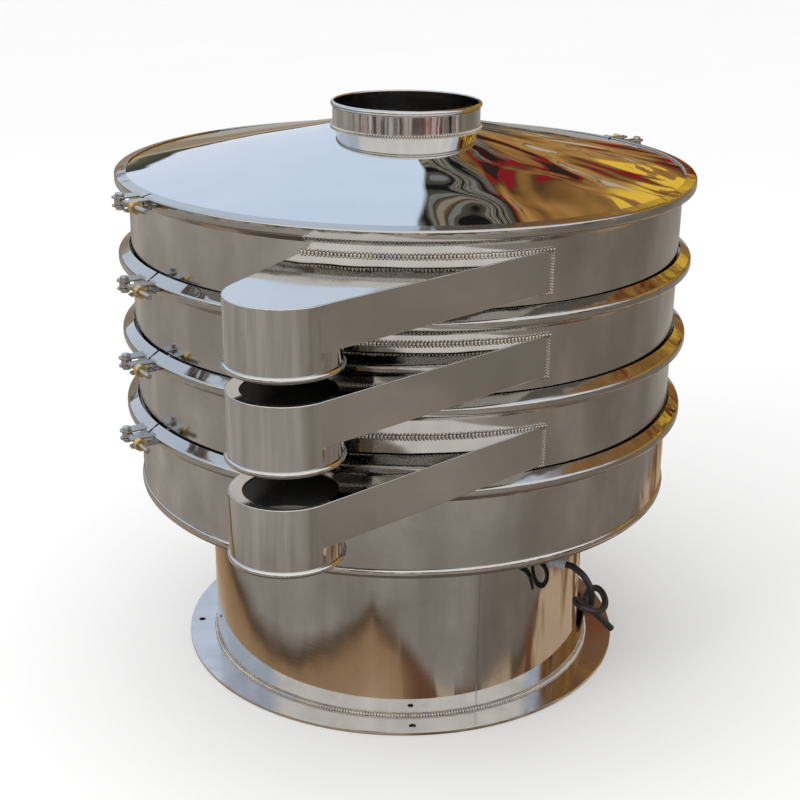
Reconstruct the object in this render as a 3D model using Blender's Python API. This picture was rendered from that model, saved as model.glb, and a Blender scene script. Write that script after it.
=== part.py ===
"""Three-deck round vibrating sieve in polished stainless sheet.

The origin is the middle of the base flange's underside, on the floor. +Z is up, and -Y is the side
with the three discharge chutes. A place round the machine is an azimuth: degrees to the right of -Y.
All sizes are in metres.
"""
import math

import bmesh
import bpy
from mathutils import Matrix, Vector

# Gaps and facets
GAP = 0.0003
OVERRUN = 0.010
RING_SEGMENTS = 32
RING_STEP = 2 * math.pi / RING_SEGMENTS
SMOOTH_ANGLE = math.radians(32)

# Clamped joints, from the lowest to the one under the lid
JOINT_NAMES = ("lower", "middle", "upper", "lid")
LOWER_JOINT_LEVEL = 0.508
DECK_PITCH = 0.140
JOINT_LEVELS = [LOWER_JOINT_LEVEL + DECK_PITCH * index for index in range(len(JOINT_NAMES))]

# Shells and their turned-out flanges
SHELL_RADIUS = 0.500
SHELL_SHEET = 0.003
FLANGE_WIDTH = 0.018
FLANGE_SHEET = 0.0025
FLANGE_RADIUS = SHELL_RADIUS + FLANGE_WIDTH
SHELL_BORE = SHELL_RADIUS - SHELL_SHEET

# V-profile clamp bands, each in two halves
BAND_SHEET = 0.0025
BAND_RIM_GAP = 0.003
BAND_WALL_GAP = 0.004
BAND_WEB_HALF = 0.0065
BAND_LEG_HALF = 0.019
BAND_SPLIT_GAP = 0.006
BAND_SPLIT_AZIMUTHS = (-58.1, -56.1, -54.6, -54.6)
BAND_BORE = FLANGE_RADIUS + BAND_RIM_GAP
BAND_RADIUS = BAND_BORE + BAND_SHEET
BAND_LEG_RADIUS = SHELL_RADIUS + BAND_WALL_GAP
BAND_SLOPE = (BAND_LEG_HALF - BAND_WEB_HALF) / (BAND_RADIUS - BAND_LEG_RADIUS)
SLOPE_LENGTH = math.hypot(BAND_SLOPE, 1)
BAND_SHEET_UPRIGHT = BAND_SHEET * SLOPE_LENGTH

# Half the space that the flanges leave between them, where the legs bear on the flanges' corners
FLANGE_FACE = (
    BAND_WEB_HALF + (BAND_RADIUS - FLANGE_RADIUS) * BAND_SLOPE - BAND_SHEET_UPRIGHT - GAP * SLOPE_LENGTH
)
FLANGE_INNER = FLANGE_FACE - FLANGE_SHEET

# Clamps: ear plates, swing bolt and nut. The bolt's line runs square to the split's radius.
CLAMP_STAND_OFF = 0.0285
CLAMP_LINE_RADIUS = BAND_RADIUS + CLAMP_STAND_OFF
CLAMP_PIVOT_OFFSET = 0.028
EAR_PLATE = 0.003
EAR_HALF_GAP = 0.0055
EAR_HALF_WIDTH = 0.013
EAR_ARC_STEPS = 4
BEARER_START = 0.006
BEARER_END = 0.024
BEARER_REACH = 0.012
BEARER_CHAMFER = 0.005
PIN_RADIUS = 0.004
PIN_CLEARANCE = 0.0006
PIN_HEAD_RADIUS = 0.0075
PIN_HEAD_HEIGHT = 0.005
PIN_NUT_HEIGHT = 0.006
EYE_RADIUS = 0.009
ROD_RADIUS = 0.005
ROD_CLEARANCE = 0.0003
ROD_PAST_NUT = 0.030
CLAMP_NUT_THICKNESS = 0.012
CLAMP_NUT_RADIUS = 0.0115
SMALL_SEGMENTS = 8
HEX_SIDES = 6
HALF_TURN = math.pi

# Screens and gaskets
HOOP_THICKNESS = 0.003
HOOP_INSET = 0.003
HOOP_WIDTH = 0.042
MESH_THICKNESS = 0.001
GASKET_INSET = 0.002

# Lid and inlet collar
LID_RISE = 0.07375
COLLAR_RADIUS = 0.1335
COLLAR_SHEET = 0.003
COLLAR_HEIGHT = 0.044
COLLAR_BEAD_RADIUS = 0.0048
BEAD_STEPS = 3

# Discharge chutes
SPOUT_STAND_OFF = 0.220
SPOUT_DISTANCE = SHELL_RADIUS + SPOUT_STAND_OFF
SPOUT_AZIMUTH = -13.5
SPOUT_RADIUS = 0.084
SPOUT_LENGTH = 0.106
SPOUT_BEAD_RADIUS = 0.005
SPOUT_FRONT_STEPS = 10
SPOUT_BACK_STEPS = 6
CHUTE_LEFT_AZIMUTH = -18.2
CHUTE_RIGHT_AZIMUTH = 27.2
CHUTE_TOPS_ABOVE_JOINTS = (0.092, 0.106, 0.104)
CHUTE_HEIGHT = 0.069
CHUTE_SHEET = 0.0025
CHUTE_LAP = 0.030
TOP_OPENING_RADIUS = 0.070
TOP_OPENING_SHIFT_X = 0.007
TOP_OPENING_SHIFT_Y = -0.006
TOP_OPENING_SEGMENTS = 16
REAR_CHUTE_BELOW_BAND = 0.005

# Bottom frame, its dish and its vibrating plate
BOTTOM_EDGE_LEVEL = 0.350
EDGE_ROLL_PROUD = 0.0035
EDGE_ROLL_HEIGHT = 0.016
EDGE_ROLL_STEPS = 3
PLATE_LEVEL = 0.388
PLATE_THICKNESS = 0.008
DISH_SHEET = 0.0025
DISH_RISE = 0.045
DISH_RIM_WIDTH = 0.030

# Base
BASE_RADIUS = 0.372
BASE_SHEET = 0.003
BASE_TOP_LEVEL = 0.300
BASE_FLANGE_OUTSTAND = 0.055
BASE_FLANGE_INSTAND = 0.042
BASE_FLANGE_RADIUS = BASE_RADIUS + BASE_FLANGE_OUTSTAND
BASE_FLANGE_BORE = BASE_RADIUS - BASE_FLANGE_INSTAND
BASE_FLANGE_THICKNESS = 0.006
ANCHOR_COUNT = 4
ANCHOR_RADIUS = 0.0065
ANCHOR_OUTSTAND = 0.033
ANCHOR_CIRCLE = BASE_RADIUS + ANCHOR_OUTSTAND
ANCHOR_AZIMUTH = 3.3
DECK_WIDTH = 0.1035
DECK_THICKNESS = 0.006
DECK_BELOW_TOP = 0.004
WINDOW_AZIMUTH = 83.0
WINDOW_WIDTH = 0.215
WINDOW_BOTTOM = 0.045
WINDOW_TOP = 0.262
WINDOW_CORNER = 0.020
WINDOW_CORNER_STEPS = 3
WINDOW_DEPTH = 0.200

# Springs
SPRING_COUNT = 6
SPRING_INSET = 0.050
SPRING_CIRCLE = BASE_RADIUS - SPRING_INSET
SPRING_RADIUS = 0.026
SPRING_WIRE_RADIUS = 0.0045
SPRING_END_TURNS = 0.5
SPRING_TURNS = 4.5
SPRING_STEPS_PER_TURN = 8
PEG_CLEARANCE = 0.0025
PEG_HEIGHT = 0.010

# Vibration motor
MOTOR_CORE_RADIUS = 0.082
MOTOR_NECK_RADIUS = 0.090
MOTOR_FLANGE_RADIUS = 0.135
MOTOR_FLANGE_THICKNESS = 0.014
MOTOR_HOLE_CLEARANCE = 0.004
MOTOR_ABOVE_PLATE = 0.026
MOTOR_BODY_LENGTH = 0.205
MOTOR_END_RADIUS = 0.060
MOTOR_SHOULDER = 0.018
MOTOR_SEGMENTS = 20
FIN_COUNT = 12
FIN_THICKNESS = 0.005
FIN_REACH = 0.014
FIN_ROOT = 0.012
FIN_END_SPACE = 0.012
SHAFT_RADIUS = 0.015
SHAFT_CLEARANCE = 0.0004
SHAFT_SEGMENTS = 16
SHAFT_PAST_WEIGHT = 0.003
WEIGHT_RADIUS = 0.080
WEIGHT_HUB_RADIUS = 0.027
WEIGHT_THICKNESS = 0.022
WEIGHT_SPACE = 0.003
WEIGHT_SPREAD = 80.0
WEIGHT_STEPS = 8
TERMINAL_PAD_WIDTH = 0.060
TERMINAL_PAD_HEIGHT = 0.070
TERMINAL_BOX_WIDTH = 0.074
TERMINAL_BOX_HEIGHT = 0.086
TERMINAL_BOX_DEPTH = 0.048
TERMINAL_BOX_CORNER = 0.006
TERMINAL_AZIMUTH = 45.0

# Cable gland and cable
GLAND_FACET = -3.5
GLAND_SIDE_SHIFT = -0.016
GLAND_SEGMENTS = 10
GLAND_LEVEL = 0.262
GLAND_THREAD_RADIUS = 0.010
GLAND_THREAD_LENGTH = 0.015
GLAND_FLANGE_RADIUS = 0.0145
GLAND_FLANGE_LENGTH = 0.006
GLAND_BODY_RADIUS = 0.0125
GLAND_BODY_LENGTH = 0.010
GLAND_DOME_LENGTH = 0.016
GLAND_MOUTH_RADIUS = 0.0085
CABLE_RADIUS = 0.006
CABLE_STEPS_PER_SPAN = 2
CABLE_ROUTE = (
    (0.3255, -0.2869, 0.2542), (0.3352, -0.2935, 0.2432), (0.3421, -0.2970, 0.2290),
    (0.3455, -0.2969, 0.2132), (0.3456, -0.2929, 0.1976), (0.3432, -0.2845, 0.1841),
    (0.3402, -0.2708, 0.1765), (0.3399, -0.2554, 0.1798), (0.3446, -0.2480, 0.1927),
    (0.3520, -0.2529, 0.2059), (0.3588, -0.2653, 0.2134), (0.3638, -0.2805, 0.2157),
    (0.3669, -0.2963, 0.2151), (0.3675, -0.3124, 0.2134), (0.3650, -0.3283, 0.2120),
    (0.3588, -0.3432, 0.2120), (0.3482, -0.3551, 0.2142), (0.3340, -0.3607, 0.2188),
    (0.3195, -0.3564, 0.2238), (0.3112, -0.3431, 0.2259), (0.3121, -0.3276, 0.2227),
    (0.3197, -0.3157, 0.2152), (0.3302, -0.3087, 0.2051), (0.3414, -0.3050, 0.1939),
    (0.3525, -0.3024, 0.1825), (0.3635, -0.3001, 0.1708), (0.3744, -0.2981, 0.1589),
    (0.3852, -0.2961, 0.1471),
)

# Finishes
STEEL = ("polished_steel", (0.62, 0.61, 0.59), 0.12, 1.0)
SATIN_STEEL = ("satin_steel", (0.50, 0.49, 0.47), 0.38, 1.0)
BRASS = ("brass", (0.66, 0.45, 0.16), 0.25, 1.0)
MESH_STEEL = ("woven_steel", (0.42, 0.42, 0.41), 0.55, 1.0)
SPRING_STEEL = ("spring_steel", (0.10, 0.10, 0.11), 0.45, 0.8)
CAST_IRON = ("cast_iron", (0.16, 0.20, 0.24), 0.55, 0.2)
WEIGHT_STEEL = ("weight_steel", (0.22, 0.22, 0.23), 0.50, 0.9)
RUBBER = ("rubber", (0.83, 0.83, 0.80), 0.60, 0.0)
GLAND_GREY = ("grey_plastic", (0.45, 0.49, 0.52), 0.45, 0.0)
CABLE_BLACK = ("black_rubber", (0.03, 0.03, 0.03), 0.55, 0.0)


def azimuth_angle(azimuth):
    """The angle from +X of a place given in degrees to the right of -Y."""
    return math.radians(azimuth) - math.pi / 2


def azimuth_point(radius, azimuth, level=0.0):
    angle = azimuth_angle(azimuth)
    return Vector((radius * math.cos(angle), radius * math.sin(angle), level))


def finish(settings):
    name, colour, roughness, metallic = settings
    material = bpy.data.materials.get(name)
    if material is None:
        material = bpy.data.materials.new(name)
        material.use_nodes = True
        shader = material.node_tree.nodes["Principled BSDF"]
        shader.inputs["Base Color"].default_value = (*colour, 1.0)
        shader.inputs["Roughness"].default_value = roughness
        shader.inputs["Metallic"].default_value = metallic
        material.diffuse_color = (*colour, 1.0)
    return material


def place(name, data, settings, location=(0, 0, 0), rotation=(0, 0, 0)):
    """Puts one named piece into the scene with its finish."""
    piece = bpy.data.objects.new(name, data)
    bpy.context.scene.collection.objects.link(piece)
    piece.location = location
    piece.rotation_euler = rotation
    if not data.materials:
        data.materials.append(finish(settings))
    if isinstance(data, bpy.types.Mesh):
        data.shade_smooth()
        data.set_sharp_from_angle(angle=SMOOTH_ANGLE)
    return piece


def place_cutter(name, data, location=(0, 0, 0), rotation=(0, 0, 0)):
    cutter = bpy.data.objects.new(name, data)
    bpy.context.scene.collection.objects.link(cutter)
    cutter.location = location
    cutter.rotation_euler = rotation
    cutter.hide_render = True
    cutter.display_type = "WIRE"
    return cutter


def combine(piece, other, operation):
    modifier = piece.modifiers.new(operation.title(), "BOOLEAN")
    modifier.operation = operation
    modifier.object = other


def cut(piece, cutter):
    combine(piece, cutter, "DIFFERENCE")


def join(piece, other):
    combine(piece, other, "UNION")


def mesh_from(bm, name):
    bmesh.ops.recalc_face_normals(bm, faces=bm.faces)
    data = bpy.data.meshes.new(name)
    bm.to_mesh(data)
    bm.free()
    return data


def even_angles(count):
    return [2 * math.pi * index / count for index in range(count)]


def turned(name, profile, angles=None, closed=True, centre=(0, 0)):
    """A solid of revolution: profile is a closed loop of (radius, level) points."""
    if angles is None:
        angles = even_angles(RING_SEGMENTS)
    bm = bmesh.new()
    rings = []
    for radius, level in profile:
        if radius == 0:
            rings.append([bm.verts.new((centre[0], centre[1], level))] * len(angles))
            continue
        rings.append([
            bm.verts.new((centre[0] + radius * math.cos(a), centre[1] + radius * math.sin(a), level))
            for a in angles
        ])
    spans = len(angles) if closed else len(angles) - 1
    for first, second in zip(rings, rings[1:] + rings[:1]):
        for index in range(spans):
            after = (index + 1) % len(angles)
            corners = []
            for vertex in (first[index], first[after], second[after], second[index]):
                if vertex not in corners:
                    corners.append(vertex)
            if len(corners) > 2:
                bm.faces.new(corners)
    if not closed:
        bm.faces.new([ring[0] for ring in rings])
        bm.faces.new([ring[-1] for ring in rings])
    return mesh_from(bm, name)


def prism(name, outline, bottom, top):
    """An upright solid over a plan outline."""
    bm = bmesh.new()
    base = bm.faces.new([bm.verts.new((x, y, bottom)) for x, y in outline])
    walls = bmesh.ops.extrude_face_region(bm, geom=[base])
    raised = [item for item in walls["geom"] if isinstance(item, bmesh.types.BMVert)]
    bmesh.ops.translate(bm, verts=raised, vec=(0, 0, top - bottom))
    return mesh_from(bm, name)


def block(name, low, high, corner=0.0, corner_steps=1):
    """A box from its two corners, with its X edges rounded if a corner is given."""
    bm = bmesh.new()
    bmesh.ops.create_cube(bm, size=1)
    size = Vector(high) - Vector(low)
    middle = (Vector(high) + Vector(low)) / 2
    bmesh.ops.scale(bm, vec=size, verts=bm.verts)
    bmesh.ops.translate(bm, vec=middle, verts=bm.verts)
    if corner:
        along_x = [e for e in bm.edges if abs((e.verts[0].co - e.verts[1].co).normalized().x) == 1]
        bmesh.ops.bevel(
            bm, geom=along_x, offset=corner, segments=corner_steps, profile=0.5, affect="EDGES"
        )
    return mesh_from(bm, name)


def cylinder(name, radius, bottom, top, segments=SMALL_SEGMENTS):
    profile = [(0, top), (radius, top), (radius, bottom), (0, bottom)]
    return turned(name, profile, even_angles(segments))


def outward_turn(azimuth):
    """The rotation that points a piece's own +Z outwards at an azimuth."""
    return (0, math.pi / 2, azimuth_angle(azimuth))


def settled(piece):
    """The mesh of a piece with its modifiers applied, for copies that share it."""
    bpy.context.view_layer.update()
    evaluated = piece.evaluated_get(bpy.context.evaluated_depsgraph_get())
    return bpy.data.meshes.new_from_object(evaluated)


def drop(piece):
    bpy.data.objects.remove(piece)


def outer_bead(radius, level, size, steps=BEAD_STEPS):
    """Points of a rolled bead on the outside of a wall, from its top to its bottom."""
    angles = [math.pi / 2 - math.pi * step / steps for step in range(steps + 1)]
    return [(radius + size * math.cos(a), level + size * math.sin(a)) for a in angles]


# Base: a flange ring bolted to the floor, a welded cylinder and the spring deck inside its top

def anchor_azimuths():
    return [ANCHOR_AZIMUTH + 360 * index / ANCHOR_COUNT for index in range(ANCHOR_COUNT)]


def build_base():
    flange = place("base_flange", turned("base_flange", [
        (BASE_FLANGE_RADIUS, BASE_FLANGE_THICKNESS), (BASE_FLANGE_RADIUS, 0),
        (BASE_FLANGE_BORE, 0), (BASE_FLANGE_BORE, BASE_FLANGE_THICKNESS),
    ]), STEEL)
    hole = cylinder("anchor_hole", ANCHOR_RADIUS, -OVERRUN, BASE_FLANGE_THICKNESS + OVERRUN)
    for azimuth in anchor_azimuths():
        cut(flange, place_cutter("anchor_cutter", hole, azimuth_point(ANCHOR_CIRCLE, azimuth)))

    shell_bore = BASE_RADIUS - BASE_SHEET
    shell_foot = BASE_FLANGE_THICKNESS + GAP
    shell = place("base_shell", turned("base_shell", [
        (BASE_RADIUS, BASE_TOP_LEVEL), (BASE_RADIUS, shell_foot),
        (shell_bore, shell_foot), (shell_bore, BASE_TOP_LEVEL),
    ]), STEEL)
    window = block(
        "window", (BASE_RADIUS - WINDOW_DEPTH, -WINDOW_WIDTH / 2, WINDOW_BOTTOM),
        (BASE_RADIUS + OVERRUN, WINDOW_WIDTH / 2, WINDOW_TOP), WINDOW_CORNER, WINDOW_CORNER_STEPS,
    )
    turn = (0, 0, azimuth_angle(WINDOW_AZIMUTH))
    cut(shell, place_cutter("window_cutter", window, rotation=turn))
    gland_hole = cylinder(
        "gland_hole", GLAND_THREAD_RADIUS + GAP, -GLAND_THREAD_LENGTH, OVERRUN, GLAND_SEGMENTS
    )
    cut(shell, place_cutter("gland_cutter", gland_hole, gland_seat(), outward_turn(gland_azimuth())))

    deck_top = BASE_TOP_LEVEL - DECK_BELOW_TOP
    deck_radius = shell_bore - GAP
    deck_bore = deck_radius - DECK_WIDTH
    deck = place("spring_deck", turned("spring_deck", [
        (deck_radius, deck_top), (deck_radius, deck_top - DECK_THICKNESS),
        (deck_bore, deck_top - DECK_THICKNESS), (deck_bore, deck_top),
    ]), SATIN_STEEL)
    for azimuth in spring_azimuths():
        peg = peg_mesh(-DECK_THICKNESS / 2, 1)
        join(deck, place_cutter("deck_peg", peg, azimuth_point(SPRING_CIRCLE, azimuth, deck_top)))


# Springs: steel coils with flat ends, each held on a peg at both ends

def spring_azimuths():
    first = 360 / SPRING_COUNT / 2
    return [first + 360 * index / SPRING_COUNT for index in range(SPRING_COUNT)]


def peg_mesh(root, direction):
    """A spring peg with its seat at level 0, pointing up (1) or down (-1)."""
    radius = SPRING_RADIUS - SPRING_WIRE_RADIUS - PEG_CLEARANCE
    tip = direction * PEG_HEIGHT
    profile = [(0, tip), (radius, tip), (radius, root), (0, root)]
    return turned("peg", profile, even_angles(SMALL_SEGMENTS))


def build_springs():
    bottom = BASE_TOP_LEVEL - DECK_BELOW_TOP + GAP + SPRING_WIRE_RADIUS
    rise = PLATE_LEVEL - GAP - SPRING_WIRE_RADIUS - bottom
    curve = bpy.data.curves.new("spring", "CURVE")
    curve.dimensions = "3D"
    curve.bevel_depth = SPRING_WIRE_RADIUS
    curve.bevel_resolution = 0
    curve.use_fill_caps = True
    steps = round(SPRING_TURNS * SPRING_STEPS_PER_TURN)
    spline = curve.splines.new("POLY")
    spline.points.add(steps)
    active = SPRING_TURNS - 2 * SPRING_END_TURNS
    for index in range(steps + 1):
        turns = index / SPRING_STEPS_PER_TURN
        share = min(max((turns - SPRING_END_TURNS) / active, 0), 1)
        angle = 2 * math.pi * turns
        spline.points[index].co = (
            SPRING_RADIUS * math.cos(angle), SPRING_RADIUS * math.sin(angle), bottom + rise * share, 1,
        )
    for number, azimuth in enumerate(spring_azimuths(), 1):
        place(f"spring_{number}", curve, SPRING_STEEL, azimuth_point(SPRING_CIRCLE, azimuth))


# Shells: the bottom frame and three sieve frames, with flanges turned out at the clamped joints

def top_flange_profile(level):
    return [
        (SHELL_BORE, level - FLANGE_INNER), (FLANGE_RADIUS, level - FLANGE_INNER),
        (FLANGE_RADIUS, level - FLANGE_FACE), (SHELL_RADIUS, level - FLANGE_FACE),
    ]


def bottom_flange_profile(level):
    return [
        (SHELL_RADIUS, level + FLANGE_FACE), (FLANGE_RADIUS, level + FLANGE_FACE),
        (FLANGE_RADIUS, level + FLANGE_INNER), (SHELL_BORE, level + FLANGE_INNER),
    ]


def edge_roll_profile():
    """The rounded lower edge of the bottom frame."""
    points = []
    for step in range(EDGE_ROLL_STEPS + 1):
        angle = math.pi / 2 - math.pi * step / EDGE_ROLL_STEPS
        points.append((
            SHELL_RADIUS + EDGE_ROLL_PROUD * math.cos(angle),
            BOTTOM_EDGE_LEVEL + EDGE_ROLL_HEIGHT / 2 * (1 + math.sin(angle)),
        ))
    return points + [(SHELL_BORE, BOTTOM_EDGE_LEVEL)]


def build_frames():
    profile = top_flange_profile(JOINT_LEVELS[0]) + edge_roll_profile()
    bottom = place("bottom_frame", turned("bottom_frame", profile), STEEL)
    frames = [bottom]
    for name, low, high in zip(
        ("lower_frame", "middle_frame", "top_frame"), JOINT_LEVELS[:-1], JOINT_LEVELS[1:]
    ):
        profile = top_flange_profile(high) + bottom_flange_profile(low)
        frames.append(place(name, turned(name, profile), STEEL))
    return frames


# Chutes: a flat duct that leaves the wall on a slant and ends in a round downward spout

def spout_centre():
    return azimuth_point(SPOUT_DISTANCE, SPOUT_AZIMUTH).to_2d()


def tangent_normal(wall_azimuth, side):
    """The outward normal of the side plate from a wall point to the spout's flank."""
    to_wall = azimuth_point(SHELL_RADIUS, wall_azimuth).to_2d() - spout_centre()
    swing = math.acos(SPOUT_RADIUS / to_wall.length)
    angle = math.atan2(to_wall.y, to_wall.x) + side * swing
    return Vector((math.cos(angle), math.sin(angle)))


def spout_angles():
    """Angles round the spout: the arc that the duct shares, then the arc inside the duct."""
    left = tangent_normal(CHUTE_LEFT_AZIMUTH, 1)
    right = tangent_normal(CHUTE_RIGHT_AZIMUTH, -1)
    start = math.atan2(left.y, left.x)
    end = math.atan2(right.y, right.x)
    while end < start:
        end += 2 * math.pi
    front = [start + (end - start) * step / SPOUT_FRONT_STEPS for step in range(SPOUT_FRONT_STEPS)]
    back_sweep = 2 * math.pi - (end - start)
    back = [end + back_sweep * step / SPOUT_BACK_STEPS for step in range(SPOUT_BACK_STEPS)]
    return front, back


def duct_outline(inset, lap):
    """The duct's plan, its side plates moved in by inset and run past the wall by lap.

    Between the side plates it stays inside the spout's own wall.
    """
    centre = spout_centre()
    left = tangent_normal(CHUTE_LEFT_AZIMUTH, 1)
    right = tangent_normal(CHUTE_RIGHT_AZIMUTH, -1)
    front, _ = spout_angles()
    outline = [
        centre + Vector((math.cos(angle), math.sin(angle))) * (SPOUT_RADIUS - inset - CHUTE_SHEET / 2)
        for angle in front[1:]
    ]
    outline = [centre + left * (SPOUT_RADIUS - inset), *outline, centre + right * (SPOUT_RADIUS - inset)]
    for normal, azimuth, at_end in ((right, CHUTE_RIGHT_AZIMUTH, True), (left, CHUTE_LEFT_AZIMUTH, False)):
        wall_point = azimuth_point(SHELL_RADIUS, azimuth).to_2d()
        flank = centre + normal * SPOUT_RADIUS
        run = (wall_point - flank).normalized()
        corner = wall_point + run * lap - normal * inset
        if at_end:
            outline.append(corner)
        else:
            outline.insert(0, corner)
    return outline


def build_chute(name, frame, top, turn, open_top, wall_cutter):
    front, back = spout_angles()
    angles = front + back
    centre = spout_centre()
    rotation = (0, 0, turn)
    floor = top - CHUTE_HEIGHT
    mouth = top - SPOUT_LENGTH
    bead = outer_bead(SPOUT_RADIUS, mouth + SPOUT_BEAD_RADIUS, SPOUT_BEAD_RADIUS)
    spout = turned(
        "spout", [(0, top), (SPOUT_RADIUS, top), *bead, (0, mouth)], angles, centre=centre
    )
    chute = place(name, spout, STEEL, rotation=rotation)
    duct = prism("duct", duct_outline(0, CHUTE_LAP), floor, top)
    join(chute, place_cutter(name + "_duct", duct, rotation=rotation))
    hollow = prism(
        "hollow", duct_outline(CHUTE_SHEET, 2 * CHUTE_LAP), floor + CHUTE_SHEET, top - CHUTE_SHEET
    )
    hollow_cutter = place_cutter(name + "_hollow", hollow, rotation=rotation)
    cut(chute, hollow_cutter)
    cut(frame, hollow_cutter)
    bore_radius = SPOUT_RADIUS - CHUTE_SHEET
    bore = turned("bore", [
        (0, top - CHUTE_SHEET), (bore_radius, top - CHUTE_SHEET),
        (bore_radius, mouth - OVERRUN), (0, mouth - OVERRUN),
    ], angles, centre=centre)
    cut(chute, place_cutter(name + "_bore", bore, rotation=rotation))
    if open_top:
        opening = cylinder(
            "opening", TOP_OPENING_RADIUS, floor + CHUTE_SHEET + OVERRUN, top + OVERRUN,
            TOP_OPENING_SEGMENTS,
        )
        shift = Vector((TOP_OPENING_SHIFT_X, TOP_OPENING_SHIFT_Y))
        cut(chute, place_cutter(name + "_opening", opening, (*(centre + shift), 0)))
    cut(chute, wall_cutter)


def build_chutes(frames):
    bottom, lower, middle, top = frames
    radius = SHELL_RADIUS + GAP
    low, high = BOTTOM_EDGE_LEVEL, JOINT_LEVELS[-1]
    wall = turned("wall", [(0, high), (radius, high), (radius, low), (0, low)])
    wall_cutter = place_cutter("wall_cutter", wall)
    tops = [level + height for level, height in zip(JOINT_LEVELS, CHUTE_TOPS_ABOVE_JOINTS)]
    build_chute("top_chute", top, tops[2], 0, False, wall_cutter)
    build_chute("middle_chute", middle, tops[1], 0, True, wall_cutter)
    build_chute("lower_chute", lower, tops[0], 0, True, wall_cutter)
    build_chute("rear_chute", bottom, rear_chute_top(), HALF_TURN, False, wall_cutter)


def rear_chute_top():
    return JOINT_LEVELS[0] - BAND_LEG_HALF - REAR_CHUTE_BELOW_BAND


# Inside the frames: screens, gaskets, the discharge dish and the vibrating plate

def build_screens_and_gaskets():
    hoop_radius = FLANGE_RADIUS - HOOP_INSET
    hoop_bore = hoop_radius - HOOP_WIDTH
    gasket_radius = FLANGE_RADIUS - GASKET_INSET
    for name, level in zip(JOINT_NAMES, JOINT_LEVELS):
        gasket_bottom = level - FLANGE_INNER + GAP
        gasket_top = level + FLANGE_INNER - GAP
        if name != "lid":
            top = gasket_top
            bottom = top - HOOP_THICKNESS
            gasket_top = bottom - GAP
            place(name + "_screen", turned(name + "_screen", [
                (0, top), (hoop_radius, top), (hoop_radius, bottom), (hoop_bore, bottom),
                (hoop_bore, top - MESH_THICKNESS), (0, top - MESH_THICKNESS),
            ]), MESH_STEEL)
        place(name + "_gasket", turned(name + "_gasket", [
            (gasket_radius, gasket_top), (gasket_radius, gasket_bottom),
            (SHELL_BORE, gasket_bottom), (SHELL_BORE, gasket_top),
        ]), RUBBER)


def build_dish_and_plate():
    inside = SHELL_BORE - GAP
    rim_top = rear_chute_top() - CHUTE_HEIGHT + CHUTE_SHEET + DISH_SHEET
    crown = rim_top + DISH_RISE
    upper = [
        (0, crown), (inside - DISH_RIM_WIDTH, rim_top), (inside, rim_top),
    ]
    lower = [(radius, level - DISH_SHEET) for radius, level in reversed(upper)]
    place("discharge_dish", turned("discharge_dish", upper + lower), STEEL)

    bore = MOTOR_NECK_RADIUS + MOTOR_HOLE_CLEARANCE
    top = PLATE_LEVEL + PLATE_THICKNESS
    plate = place("vibrating_plate", turned("vibrating_plate", [
        (inside, top), (inside, PLATE_LEVEL), (bore, PLATE_LEVEL), (bore, top),
    ]), SATIN_STEEL)
    for azimuth in spring_azimuths():
        peg = peg_mesh(PLATE_THICKNESS / 2, -1)
        join(plate, place_cutter("plate_peg", peg, azimuth_point(SPRING_CIRCLE, azimuth, PLATE_LEVEL)))


# Lid: a shallow cone with a flange, and the inlet collar welded on its top

def lid_slope():
    return LID_RISE / (FLANGE_RADIUS - COLLAR_RADIUS + COLLAR_SHEET)


def lid_edge():
    """The height of the lid's top face at its edge, above the middle of its joint."""
    return FLANGE_INNER + SHELL_SHEET * math.hypot(lid_slope(), 1)


def build_lid():
    level = JOINT_LEVELS[-1]
    collar_bore = COLLAR_RADIUS - COLLAR_SHEET
    slope = lid_slope()
    edge = level + lid_edge()
    crown = edge + LID_RISE
    sheet_upright = SHELL_SHEET * math.hypot(slope, 1)
    inner_edge = edge + slope * (FLANGE_RADIUS - SHELL_BORE) - sheet_upright
    place("lid_cone", turned("lid_cone", [
        (collar_bore, crown), (FLANGE_RADIUS, edge), (FLANGE_RADIUS, level + FLANGE_INNER),
        (SHELL_BORE, level + FLANGE_INNER), (SHELL_BORE, inner_edge), (collar_bore, crown - sheet_upright),
    ]), STEEL)

    wall_top = crown + COLLAR_HEIGHT
    foot_inner = crown + GAP
    foot_outer = foot_inner - slope * COLLAR_SHEET
    bead = outer_bead(COLLAR_RADIUS - COLLAR_SHEET / 2, wall_top - COLLAR_BEAD_RADIUS, COLLAR_BEAD_RADIUS)
    neck = (COLLAR_RADIUS, wall_top - 2 * COLLAR_BEAD_RADIUS)
    profile = [
        (collar_bore, wall_top), *bead[:-1], neck, (COLLAR_RADIUS, foot_outer), (collar_bore, foot_inner),
    ]
    place("inlet_collar", turned("inlet_collar", profile), STEEL)


# Clamp bands: each half is a V-profile arc with ear plates at one end and bearer plates at the other

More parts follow.
